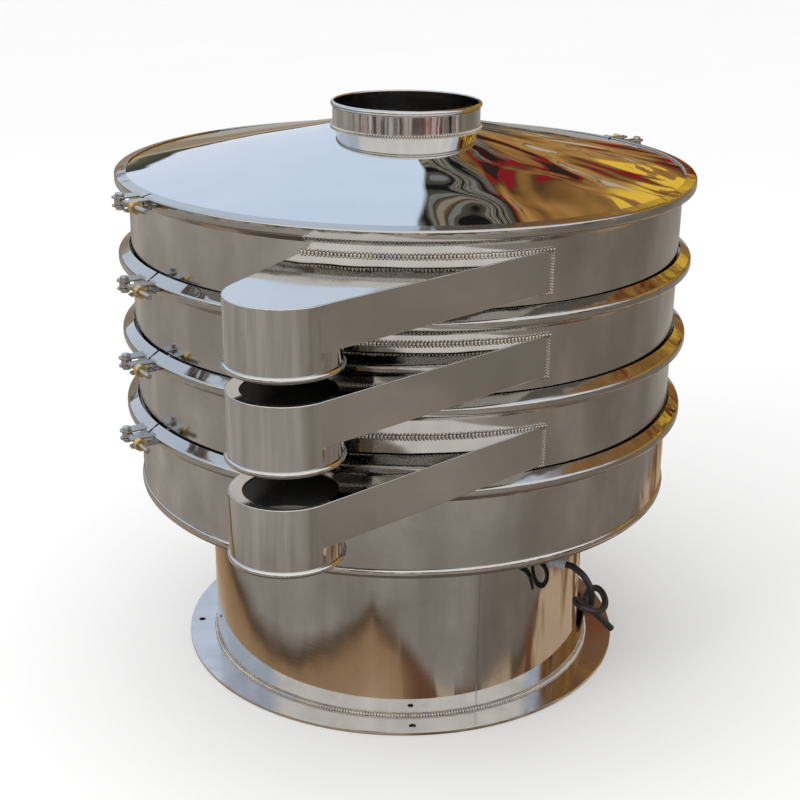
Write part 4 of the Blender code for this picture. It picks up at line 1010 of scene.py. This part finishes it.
weight_outline = [
    *arc(WEIGHT_RADIUS, -WEIGHT_SPREAD, WEIGHT_SPREAD, 40),
    *arc(WEIGHT_HUB, WEIGHT_SPREAD, 2 * math.pi - WEIGHT_SPREAD, 24),
]
for name, low in WEIGHT_LEVELS.items():
    weight = plate(weight_outline, low, low + WEIGHT_THICKNESS, 0.0010)
    weight = carved(weight, [round_bar(WEIGHT_BORE, *WEIGHT_BORE_LEVELS)])
    body = "phase_weight_body" if name == "phase_weight" else "rotor"
    stand_in(name, "round", weight, weight_steel, body)
shaft = round_bar(SHAFT_RADIUS, *SHAFT_LEVELS, sides=64, ease=0.0012)
stand_in("motor_shaft", "round", shaft, shaft_steel, "rotor")


# Bottom frame: the deepest shell, 3 mm sheet with a flange turned out at its top and a rolled bead
# round its lower edge. The dish, the vibrating plate and the rear chute are welded to it.
LOWER_JOINT = 0.508
DECK_PITCH = 0.140
JOINTS = {name: LOWER_JOINT + index * DECK_PITCH for index, name in enumerate(("lower", "middle", "upper", "lid"))}
FLANGE_RADIUS = 0.518
FLANGE_FACE = 0.0067
FLANGE_INNER = 0.0042
BOTTOM_EDGE = 0.350
ROLL_PROUD = 0.0034
ROLL_HALF = 0.008
ROLL_STEPS = 10
SPOUT_CENTRE = azimuth_point(0.720, -13.5).to_2d()
SPOUT_RADIUS = 0.084
SPOUT_BEAD = 0.0040
SPOUT_BEAD_HALF = 0.0050
SPOUT_LENGTH = 0.106
SPOUT_SIDES = 128
CHUTE_SHEET = 0.0025
CHUTE_HEIGHT = 0.069
CHUTE_LEFT = -18.2
CHUTE_RIGHT = 27.2
CHUTE_LAP = 0.030
CHUTE_EASE = 0.0016
CHUTE_WELD = (0.0060, 0.0044)
CHUTE_WELD_OFF = (0.0018, 0.0012)
CHUTE_END_WELD = (0.0046, 0.0024)
CHUTE_END_WELD_OFF = (0.0010, 0.0008)
CHUTE_END_WELD_TURN = 0.15
WALL_CUT_LEVELS = (0.3, 1.0)
TOP_OPENING_RADIUS = 0.070
TOP_OPENING_SHIFT = Vector((0.007, -0.006))
CHUTE_TOPS = {"lower": 0.600, "middle": 0.754, "top": 0.892}
REAR_CHUTE_TOP = 0.484
DISH_CROWN = 0.465
DISH_EDGE = 0.420
DISH_SHEET = 0.0025
DISH_FLAT_RADIUS = 0.4667
wall_steel = steel("wall_steel", (0.68, 0.66, 0.64), 0.05, 0.16, 0.0012, 0.16, 0.000010, 13.0)
# The chutes' insides: rougher sheet, its dark colour painted shade inside the duct and spout.
shaded_inner_steel = soft_material("shaded_inner_steel", (0.23, 0.225, 0.21), 0.20, 0.40, 120.0, 0.0001, 0.55, 18.0)
chute_steel = mirror("chute_steel", (0.69, 0.68, 0.66), 0.04, 0.10, 0.0009, 0.09, 17.0)
dish_steel = steel("dish_steel", (0.64, 0.62, 0.60), 0.10, 0.22, 0.0010, 0.20, 0.00001, 19.0)


def tangent_way(wall_azimuth, side):
    """The outward direction, from the spout's middle, of the side plate to that wall point."""
    to_wall = azimuth_point(SHELL_RADIUS, wall_azimuth).to_2d() - SPOUT_CENTRE
    angle = math.atan2(to_wall.y, to_wall.x) + side * math.acos(SPOUT_RADIUS / to_wall.length)
    return Vector((math.cos(angle), math.sin(angle)))


LEFT_WAY = tangent_way(CHUTE_LEFT, 1)
RIGHT_WAY = tangent_way(CHUTE_RIGHT, -1)


def duct_outline(inset, lap, steps=36):
    """The duct's plan: it runs past the wall by lap, and its arc stays inside the spout's wall."""
    start = math.atan2(LEFT_WAY.y, LEFT_WAY.x)
    end = math.atan2(RIGHT_WAY.y, RIGHT_WAY.x)
    while end < start:
        end += 2 * math.pi
    radius = SPOUT_RADIUS - inset
    corners = []
    for way, azimuth in ((LEFT_WAY, CHUTE_LEFT), (RIGHT_WAY, CHUTE_RIGHT)):
        wall_point = azimuth_point(SHELL_RADIUS, azimuth).to_2d()
        run = (wall_point - SPOUT_CENTRE - way * SPOUT_RADIUS).normalized()
        corners.append(wall_point + run * lap - way * inset)
    round_end = [Vector(way) * (radius - CHUTE_SHEET / 2) for way in arc(1.0, start, end, steps)[1:-1]]
    round_end = [SPOUT_CENTRE + point for point in (LEFT_WAY * radius, *round_end, RIGHT_WAY * radius)]
    return [tuple(point) for point in (corners[0], *round_end, corners[1])]


def duct_hollow(top):
    """What is cut from the duct, and from the shell that it opens into."""
    outline = duct_outline(CHUTE_SHEET, 2 * CHUTE_LAP)
    return plate(outline, top - CHUTE_HEIGHT + CHUTE_SHEET, top - CHUTE_SHEET, 0.0008)


def bead_section(radius, level, proud, half, steps):
    """The half-round section of a rolled bead, from its top down."""
    angles = [math.pi * step / steps for step in range(steps + 1)]
    return [(radius + proud * math.sin(angle), level + half * math.cos(angle), 0) for angle in angles]


def chute_data(top, open_top):
    """One chute: the duct and its spout in one skin, open at the wall and at the mouth."""
    mouth = top - SPOUT_LENGTH
    bead = bead_section(SPOUT_RADIUS, mouth + SPOUT_BEAD_HALF, SPOUT_BEAD, SPOUT_BEAD_HALF, ROLL_STEPS)
    spout = lathe(eased([(0, top), (SPOUT_RADIUS, top, CHUTE_EASE), *bead, (0, mouth)], 0), SPOUT_SIDES,
                  centre=tuple(SPOUT_CENTRE))
    duct = plate(duct_outline(0, CHUTE_LAP), top - CHUTE_HEIGHT, top, CHUTE_EASE * 0.6, 3)
    whole = carved(spout, [duct], "UNION")
    whole.materials.clear()
    with_finishes(whole, chute_steel, shaded_inner_steel)
    bore_radius = SPOUT_RADIUS - CHUTE_SHEET
    bore = lathe([(0, top - CHUTE_SHEET), (bore_radius, top - CHUTE_SHEET), (bore_radius, mouth - OVERRUN),
                  (0, mouth - OVERRUN)], SPOUT_SIDES, centre=tuple(SPOUT_CENTRE))
    wall_low, wall_high = WALL_CUT_LEVELS
    wall = lathe([
        (0, wall_high), (SHELL_RADIUS + GAP, wall_high), (SHELL_RADIUS + GAP, wall_low), (0, wall_low),
    ])
    cutters = [second_finish(duct_hollow(top)), second_finish(bore), wall]
    if open_top:
        opening = tuple(SPOUT_CENTRE + TOP_OPENING_SHIFT)
        cutters.append(round_bar(TOP_OPENING_RADIUS, top - CHUTE_HEIGHT / 2, top + OVERRUN, opening, 96))
    return carved(whole, cutters)


def add_chute(name, top, open_top, turn, seed):
    """A chute with the welds on the wall: a broad one along its top, finer ones on the other edges."""
    low = top - CHUTE_HEIGHT
    out, above = CHUTE_WELD_OFF
    top_edge = ring_path(SHELL_RADIUS + out, top + above, CHUTE_LEFT, CHUTE_RIGHT, 60)
    out, below = CHUTE_END_WELD_OFF
    other_edges = [
        [azimuth_point(SHELL_RADIUS + out, azimuth, low + CHUTE_HEIGHT * step / 12) for step in range(13)]
        for azimuth in (CHUTE_RIGHT + CHUTE_END_WELD_TURN, CHUTE_LEFT - CHUTE_END_WELD_TURN)
    ]
    other_edges.append(ring_path(SHELL_RADIUS + out, low - below, CHUTE_LEFT, CHUTE_RIGHT, 60))
    spin = turned(turn)
    stand_in(name, "folded", moved(chute_data(top, open_top), spin), None, sharp=40.0)
    weld(name + "_weld", [[spin @ point for point in top_edge]], CHUTE_WELD, seed)
    weld(name + "_end_weld", [[spin @ point for point in edge] for edge in other_edges], CHUTE_END_WELD, seed + 1)


def flange(joint, side):
    """The section of a shell's flange under a joint (side -1) or over it (side 1), from the top down."""
    section = [
        (SHELL_BORE, joint + side * FLANGE_INNER, 0.003), (FLANGE_RADIUS, joint + side * FLANGE_INNER, 0.0006),
        (FLANGE_RADIUS, joint + side * FLANGE_FACE, 0.0006), (SHELL_RADIUS, joint + side * FLANGE_FACE, 0.002),
    ]
    return section if side < 0 else section[::-1]


bottom_data = lathe(eased([
    *flange(LOWER_JOINT, -1), *bead_section(SHELL_RADIUS, BOTTOM_EDGE + ROLL_HALF, ROLL_PROUD, ROLL_HALF, ROLL_STEPS),
    (SHELL_BORE, BOTTOM_EDGE, 0.0005),
]))
bottom_data = carved(bottom_data, [moved(duct_hollow(REAR_CHUTE_TOP), turned(math.pi))])
stand_in("bottom_frame", "rolled", bottom_data, wall_steel)
add_chute("rear_chute", REAR_CHUTE_TOP, False, math.pi, 31)
stand_in("discharge_dish", "pressed", lathe(eased([
    (0, DISH_CROWN), (DISH_FLAT_RADIUS, DISH_EDGE, 0.006), (SHELL_BORE - GAP, DISH_EDGE),
    (SHELL_BORE - GAP, DISH_EDGE - DISH_SHEET), (DISH_FLAT_RADIUS, DISH_EDGE - DISH_SHEET, 0.006),
    (0, DISH_CROWN - DISH_SHEET),
], 0.0005)), dish_steel)


# Screen frames: three alike shells of 3 mm polished sheet with a flange turned out at each end,
# each with its own chute welded at the front left. The two lower spouts are open on top, where
# the spout above drops through.
joint_levels = list(JOINTS.values())
for index, (name, top) in enumerate(CHUTE_TOPS.items()):
    shell = lathe(eased(flange(joint_levels[index + 1], -1) + flange(joint_levels[index], 1)))
    stand_in(name + "_frame", "rolled", carved(shell, [duct_hollow(top)]), wall_steel)
    add_chute(name + "_chute", top, name != "top", 0.0, 41 + 10 * index)


# Screens and gaskets: woven stainless mesh stretched on a flat hoop, one under each frame, and a
# pale rubber gasket in every joint.
HOOP_RADIUS = 0.515
HOOP_BORE = 0.473
HOOP_THICKNESS = 0.003
MESH_SHEET = 0.001
MESH_PITCH = 0.0016
GASKET_RADIUS = 0.516
hoop_steel = satin("hoop_steel", (0.50, 0.49, 0.48), 0.32, 12.0)
gasket_rubber = soft_material("gasket_rubber", (0.74, 0.74, 0.70), 0.06, 0.55, 200.0, 0.0003, 0.0, 14.0)


def woven_material():
    """Plain weave: two sets of wires, over and under each other, with painted shade where they dip under."""
    material, n, spot = new_material("woven_mesh")
    x, y, z = n.split(spot)
    weave = n.product(*[n.math("SINE", n.product(way, 2 * math.pi / MESH_PITCH)) for way in (x, y)])
    # Painted shade: the colour darkens where the weave's height is low.
    base = n.ramp(weave, (0.0, (0.16, 0.16, 0.155)), (0.9, (0.44, 0.43, 0.41)))
    rough = n.span(n.noise(spot, 9.0, 3.0), 0.3, 0.7, 0.42, 0.60)
    return dressed(material, base, rough, n.bump(weave, 0.0003, 0.7), 0.9)


woven = woven_material()
for name, level in JOINTS.items():
    gasket_low, gasket_high = level - FLANGE_INNER + GAP, level + FLANGE_INNER - GAP
    if name != "lid":
        top, low = gasket_high, gasket_high - HOOP_THICKNESS
        screen_data = with_finishes(lathe(eased([
            (0, top), (HOOP_RADIUS, top, 0.0004), (HOOP_RADIUS, low, 0.0004), (HOOP_BORE, low, 0.0004),
            (HOOP_BORE, top - MESH_SHEET, 0), (0, top - MESH_SHEET),
        ], 0)), hoop_steel, woven)
        for face in screen_data.polygons:
            face.material_index = 1 if Vector(face.center).to_2d().length < HOOP_BORE else 0
        stand_in(name + "_screen", "woven", screen_data, None)
        gasket_high = low - GAP
    stand_in(name + "_gasket", "moulded", lathe(eased([
        (GASKET_RADIUS, gasket_high), (GASKET_RADIUS, gasket_low), (SHELL_BORE, gasket_low), (SHELL_BORE, gasket_high),
    ], 0.0006)), gasket_rubber)


# Lid: a shallow cone spun from 3 mm sheet, mirror polished, that runs straight out to its rim on
# the top joint. The inlet collar is rolled sheet with a beaded rim, welded on its top.
LID_SHEET = 0.003
LID_RISE = 0.07375
COLLAR_RADIUS = 0.1335
COLLAR_BORE = 0.1305
COLLAR_TOP = 1.053
COLLAR_BEAD = 0.0048
COLLAR_BEAD_STEPS = 20
COLLAR_LIP = 0.0014
COLLAR_NECK = 0.0006
COLLAR_SIDES = 160
COLLAR_WELD = (0.0052, 0.0030)
COLLAR_WELD_OFF = (0.0016, 0.0002)
LID_SLOPE = LID_RISE / (FLANGE_RADIUS - COLLAR_BORE)
LID_STRETCH = math.hypot(LID_SLOPE, 1)
LID_EDGE = FLANGE_INNER + LID_SHEET * LID_STRETCH
LID_LEVEL = JOINTS["lid"]
LID_CROWN = LID_LEVEL + LID_EDGE + LID_RISE
lid_steel = mirror("lid_steel", (0.78, 0.78, 0.78), 0.008, 0.030, 0.0026, 0.21, 23.0)
collar_steel = steel("collar_steel", (0.70, 0.69, 0.67), 0.05, 0.13, 0.0009, 0.06, 0.00001, 29.0)
stand_in("lid_cone", "spun", lathe(eased([
    (COLLAR_BORE, LID_CROWN, 0.0005), (FLANGE_RADIUS, LID_LEVEL + LID_EDGE, 0.0012),
    (FLANGE_RADIUS, LID_LEVEL + FLANGE_INNER, 0.0006), (SHELL_BORE, LID_LEVEL + FLANGE_INNER, 0),
    (SHELL_BORE, LID_LEVEL + FLANGE_INNER + LID_SLOPE * (FLANGE_RADIUS - SHELL_BORE), 0),
    (COLLAR_BORE, LID_CROWN - LID_SHEET * LID_STRETCH, 0.0005),
])), lid_steel)
collar_bead = bead_section(
    (COLLAR_RADIUS + COLLAR_BORE) / 2, COLLAR_TOP - COLLAR_BEAD, COLLAR_BEAD, COLLAR_BEAD, COLLAR_BEAD_STEPS
)
stand_in("inlet_collar", "beaded", lathe(eased([
    (COLLAR_BORE, COLLAR_TOP - COLLAR_LIP, 0.001), *collar_bead,
    (COLLAR_RADIUS, COLLAR_TOP - 2 * COLLAR_BEAD - COLLAR_NECK, 0.0004),
    (COLLAR_RADIUS, LID_CROWN + GAP - LID_SLOPE * (COLLAR_RADIUS - COLLAR_BORE), 0),
    (COLLAR_BORE, LID_CROWN + GAP, 0),
]), COLLAR_SIDES), collar_steel)
collar_weld_line = ring_path(COLLAR_RADIUS + COLLAR_WELD_OFF[0], LID_CROWN + COLLAR_WELD_OFF[1])[:-1]
weld("collar_weld", [collar_weld_line], COLLAR_WELD, 71, closed=True)


# Clamp bands: V-profile bands of 2.5 mm sheet, each in two halves, that draw the flanges together.
# Each half has two ear plates welded on at one end and two bearer plates at the other.
SPLITS = {"lower": -58.1, "middle": -56.1, "upper": -54.6, "lid": -54.6}
BAND_RADIUS = 0.5235
BAND_BORE = 0.5210
BAND_SHEET = 0.0025
BAND_WEB_HALF = 0.0065
BAND_LEG_RADIUS = 0.504
BAND_LEG_HALF = 0.019
BAND_INNER_WEB_HALF = 0.00513
BAND_INNER_LEG_HALF = 0.01603
BAND_SIDES = 176
BAND_WELD = (0.0036, 0.0018)
BAND_WELD_INSET = 0.002
SPLIT_GAP = 0.006
CLAMP_LINE = 0.552
PIVOT_OFFSET = 0.028
EAR_LOW = 0.0055
EAR_PLATE = 0.003
EAR_HALF_WIDTH = 0.013
EAR_ROOT = 0.5192
BEARER_START = 0.006
BEARER_END = 0.024
BEARER_REACH = 0.012
BEARER_CHAMFER = 0.005
PIN_HOLE = 0.0046
PIN_HOLE_HALF = 0.05
BAND_BEND = 0.0035
BAND_INNER_BEND = 0.0014
band_steel = mirror("band_steel", (0.58, 0.57, 0.55), 0.07, 0.18, 0.0009, 0.035, 37.0)
ear_steel = satin("ear_steel", (0.48, 0.47, 0.45), 0.26, 39.0)


def above_cone(radius, clearance):
    """The level over the joint of a cone that lies that far off the lid's."""
    return LID_EDGE + LID_SLOPE * (FLANGE_RADIUS - radius) + clearance * LID_STRETCH


def band_profile(over_lid):
    """The band's sheet in section. The lid's band has its upper leg laid along the lid's cone."""
    lower = [
        (BAND_RADIUS, -BAND_WEB_HALF, BAND_BEND), (BAND_LEG_RADIUS, -BAND_LEG_HALF),
        (BAND_LEG_RADIUS, -BAND_INNER_LEG_HALF), (BAND_BORE, -BAND_INNER_WEB_HALF, BAND_INNER_BEND),
    ]
    if not over_lid:
        return [
            (BAND_LEG_RADIUS, BAND_LEG_HALF), (BAND_RADIUS, BAND_WEB_HALF, BAND_BEND), *lower,
            (BAND_BORE, BAND_INNER_WEB_HALF, BAND_INNER_BEND), (BAND_LEG_RADIUS, BAND_INNER_LEG_HALF),
        ]
    outside = GAP + BAND_SHEET
    return [
        (BAND_LEG_RADIUS, above_cone(BAND_LEG_RADIUS, outside), 0.0008),
        (BAND_RADIUS, above_cone(BAND_RADIUS, outside), BAND_BEND), *lower,
        (BAND_BORE, above_cone(BAND_BORE, GAP), BAND_INNER_BEND), (BAND_LEG_RADIUS, above_cone(BAND_LEG_RADIUS, GAP)),
    ]


def ear_data(low):
    """An ear plate about its pivot: straight at the band, round about the pin's hole."""
    root = EAR_ROOT - CLAMP_LINE
    outline = [(root, EAR_HALF_WIDTH), (root, -EAR_HALF_WIDTH), *arc(EAR_HALF_WIDTH, -math.pi / 2, math.pi / 2, 16)]
    return second_finish(carved(plate(outline, low, low + EAR_PLATE, 0.0005), [
        round_bar(PIN_HOLE, -PIN_HOLE_HALF, PIN_HOLE_HALF),
    ]))


def bearer_data(low):
    """A plate that the nut bears on, one corner cut off."""
    reach = CLAMP_LINE + BEARER_REACH
    return second_finish(plate([
        (EAR_ROOT, BEARER_START), (reach - BEARER_CHAMFER, BEARER_START), (reach, BEARER_START + BEARER_CHAMFER),
        (reach, BEARER_END), (EAR_ROOT, BEARER_END),
    ], low, low + EAR_PLATE, 0.0005))


def band_weld_paths(spin, level, first, last):
    """Short welds above and below two plates, which stand on the band between first and last."""
    first, last = first + BAND_WELD_INSET, last - BAND_WELD_INSET
    slope = (BAND_RADIUS - BAND_LEG_RADIUS) / (BAND_LEG_HALF - BAND_WEB_HALF)
    paths = []
    for height in (-EAR_LOW - EAR_PLATE, EAR_LOW + EAR_PLATE):
        root = BAND_RADIUS - (abs(height) - BAND_WEB_HALF) * slope
        places = [first + (last - first) * step / 8 for step in range(9)]
        paths.append([spin @ Vector((math.sqrt(root ** 2 - along ** 2), along, level + height)) for along in places])
    return paths


def split_spin(name, turn=0.0):
    """Turns a clamp from the +X side to its band's split, or half a turn further."""
    return turned(math.radians(SPLITS[name]) - math.pi / 2 + turn)


band_weld_lines = []
half_gap = SPLIT_GAP / 2 / BAND_RADIUS
for name, level in JOINTS.items():
    start = math.radians(SPLITS[name]) - math.pi / 2 + half_gap
    sheet = lathe(eased(band_profile(name == "lid"), 0.0007, 5), BAND_SIDES, start, math.pi - 2 * half_gap)
    for half_name, turn in (("front", 0.0), ("rear", math.pi)):
        parts = [sheet]
        for low in (EAR_LOW, -EAR_LOW - EAR_PLATE):
            ear_place = split_spin(name, math.pi) @ Matrix.Translation((CLAMP_LINE, -PIVOT_OFFSET, 0))
            parts += [moved(ear_data(low), ear_place), moved(bearer_data(low), split_spin(name))]
        half = moved(joined(parts), Matrix.Translation((0, 0, level)) @ turned(turn))
        stand_in(f"{name}_band_{half_name}", "rolled", with_finishes(half, band_steel, ear_steel), None, sharp=40.0)
        for first, last in ((BEARER_START, BEARER_END),
                            (-PIVOT_OFFSET - EAR_HALF_WIDTH, -PIVOT_OFFSET + EAR_HALF_WIDTH)):
            band_weld_lines += band_weld_paths(split_spin(name, turn), level, first, last)
weld("band_welds", band_weld_lines, BAND_WELD, 83)


# Swing bolts: eye bolts that turn on a pin between the ear plates, with a rolled M10 thread. The
# pin has a round head above the ears and a hexagon nut below them.
PIN_RADIUS = 0.004
PIN_HEAD_RADIUS = 0.0075
PIN_HEAD_HEIGHT = 0.005
PIN_NUT_HEIGHT = 0.006
EYE_RADIUS = 0.009
ROD_CORE = 0.0043
ROD_RADIUS = 0.005
THREAD_START = 0.030
THREAD_PITCH = 0.0015
THREAD_STEPS = 16
THREAD_RIDGE = 0.00045
THREAD_SINK = 0.0005
THREAD_SHORT = 0.001
THREAD_STEP_DOWN = 0.0008
NUT_SEAT = 0.0523
NUT_THICKNESS = 0.012
ROD_END = NUT_SEAT + NUT_THICKNESS + 0.030
bolt_steel = satin("bolt_steel", (0.56, 0.55, 0.53), 0.26, 15.0)
eye_half = EAR_LOW - GAP
ear_top = EAR_LOW + EAR_PLATE + GAP
along_x = Matrix.Rotation(math.pi / 2, 4, "Y")
pin_and_eye = lathe(eased([
    (0, ear_top + PIN_HEAD_HEIGHT), (PIN_HEAD_RADIUS, ear_top + PIN_HEAD_HEIGHT, 0.0016), (PIN_HEAD_RADIUS, ear_top),
    (PIN_RADIUS, ear_top, 0), (PIN_RADIUS, eye_half, 0), (EYE_RADIUS, eye_half, 0.001), (EYE_RADIUS, -eye_half, 0.001),
    (PIN_RADIUS, -eye_half, 0), (PIN_RADIUS, -ear_top, 0), (PIN_RADIUS + 0.0001, -ear_top - PIN_NUT_HEIGHT, 0.0004),
    (0, -ear_top - PIN_NUT_HEIGHT),
], 0.0003), 40)
pin_nut = plate(hexagon(PIN_HEAD_RADIUS), -ear_top - PIN_NUT_HEIGHT + 0.0006, -ear_top, 0.0006)
rod = lathe(eased([
    (0, EYE_RADIUS / 2), (ROD_RADIUS, EYE_RADIUS / 2), (ROD_RADIUS, THREAD_START, 0.0006),
    (ROD_CORE, THREAD_START + THREAD_STEP_DOWN, 0.0003), (ROD_CORE, ROD_END, 0.0008), (0, ROD_END),
], 0), 32)
thread_path = []
for step in range(int((ROD_END - THREAD_SHORT - THREAD_START) / THREAD_PITCH * THREAD_STEPS)):
    turns = step / THREAD_STEPS
    thread_path.append((
        THREAD_START + THREAD_PITCH * turns, (ROD_RADIUS - THREAD_SINK) * math.cos(2 * math.pi * turns),
        (ROD_RADIUS - THREAD_SINK) * math.sin(2 * math.pi * turns),
    ))
thread = grown(ROD_TREE, [thread_path], Radius=THREAD_RIDGE, Sides=5, Metal=bolt_steel)
bolt_data = joined([pin_and_eye, pin_nut, moved(rod, along_x), thread])


# Clamp nuts: brass hexagon nuts with chamfered corners and a washer face, bored clear of the
# bolt's thread.
NUT_RADIUS = 0.0115
NUT_BORE = 0.0053
NUT_BORE_CHAMFER = 0.0006
NUT_WASHER_FACE = 0.0006
NUT_SEAT_CHAMFER = 0.0008
NUT_OUTER_CHAMFER = 0.0009
NUT_FLAT = NUT_RADIUS * math.cos(math.pi / 6)
NUT_SHOULDER = NUT_FLAT + 0.0001
brass = soft_material("nut_brass", (0.78, 0.55, 0.24), 0.18, 0.30, 350.0, 0.00012, 1.0, 16.0)
turned_nut = lathe([
    (NUT_BORE, NUT_BORE_CHAMFER), (NUT_BORE + NUT_BORE_CHAMFER, 0), (NUT_FLAT, 0), (NUT_FLAT, NUT_WASHER_FACE),
    (NUT_SHOULDER, NUT_WASHER_FACE), (NUT_RADIUS, NUT_WASHER_FACE + NUT_SEAT_CHAMFER),
    (NUT_RADIUS, NUT_THICKNESS - NUT_OUTER_CHAMFER), (NUT_SHOULDER, NUT_THICKNESS),
    (NUT_BORE + NUT_BORE_CHAMFER, NUT_THICKNESS), (NUT_BORE, NUT_THICKNESS - NUT_BORE_CHAMFER),
], 96)
nut_block = plate(hexagon(NUT_RADIUS), -0.001, NUT_THICKNESS + 0.001, 0.0001)
nut_data = moved(carved(turned_nut, [nut_block], "INTERSECT"), along_x @ Matrix.Translation((0, 0, NUT_SEAT)))

for name, level in JOINTS.items():
    for side, turn in (("left", 0.0), ("right", math.pi)):
        spin = split_spin(name, turn)
        pivot = Matrix.Translation(spin @ Vector((CLAMP_LINE, -PIVOT_OFFSET, level)))
        place = pivot @ spin @ turned(math.pi / 2)
        bolt, nut = moved(bolt_data.copy(), place), moved(nut_data.copy(), place)
        stand_in(f"{name}_swing_bolt_{side}", "threaded", bolt, bolt_steel, f"{name}_bolt_{side}", 40.0)
        stand_in(f"{name}_clamp_nut_{side}", "chamfered", nut, brass, f"{name}_nut_{side}")


low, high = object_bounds()
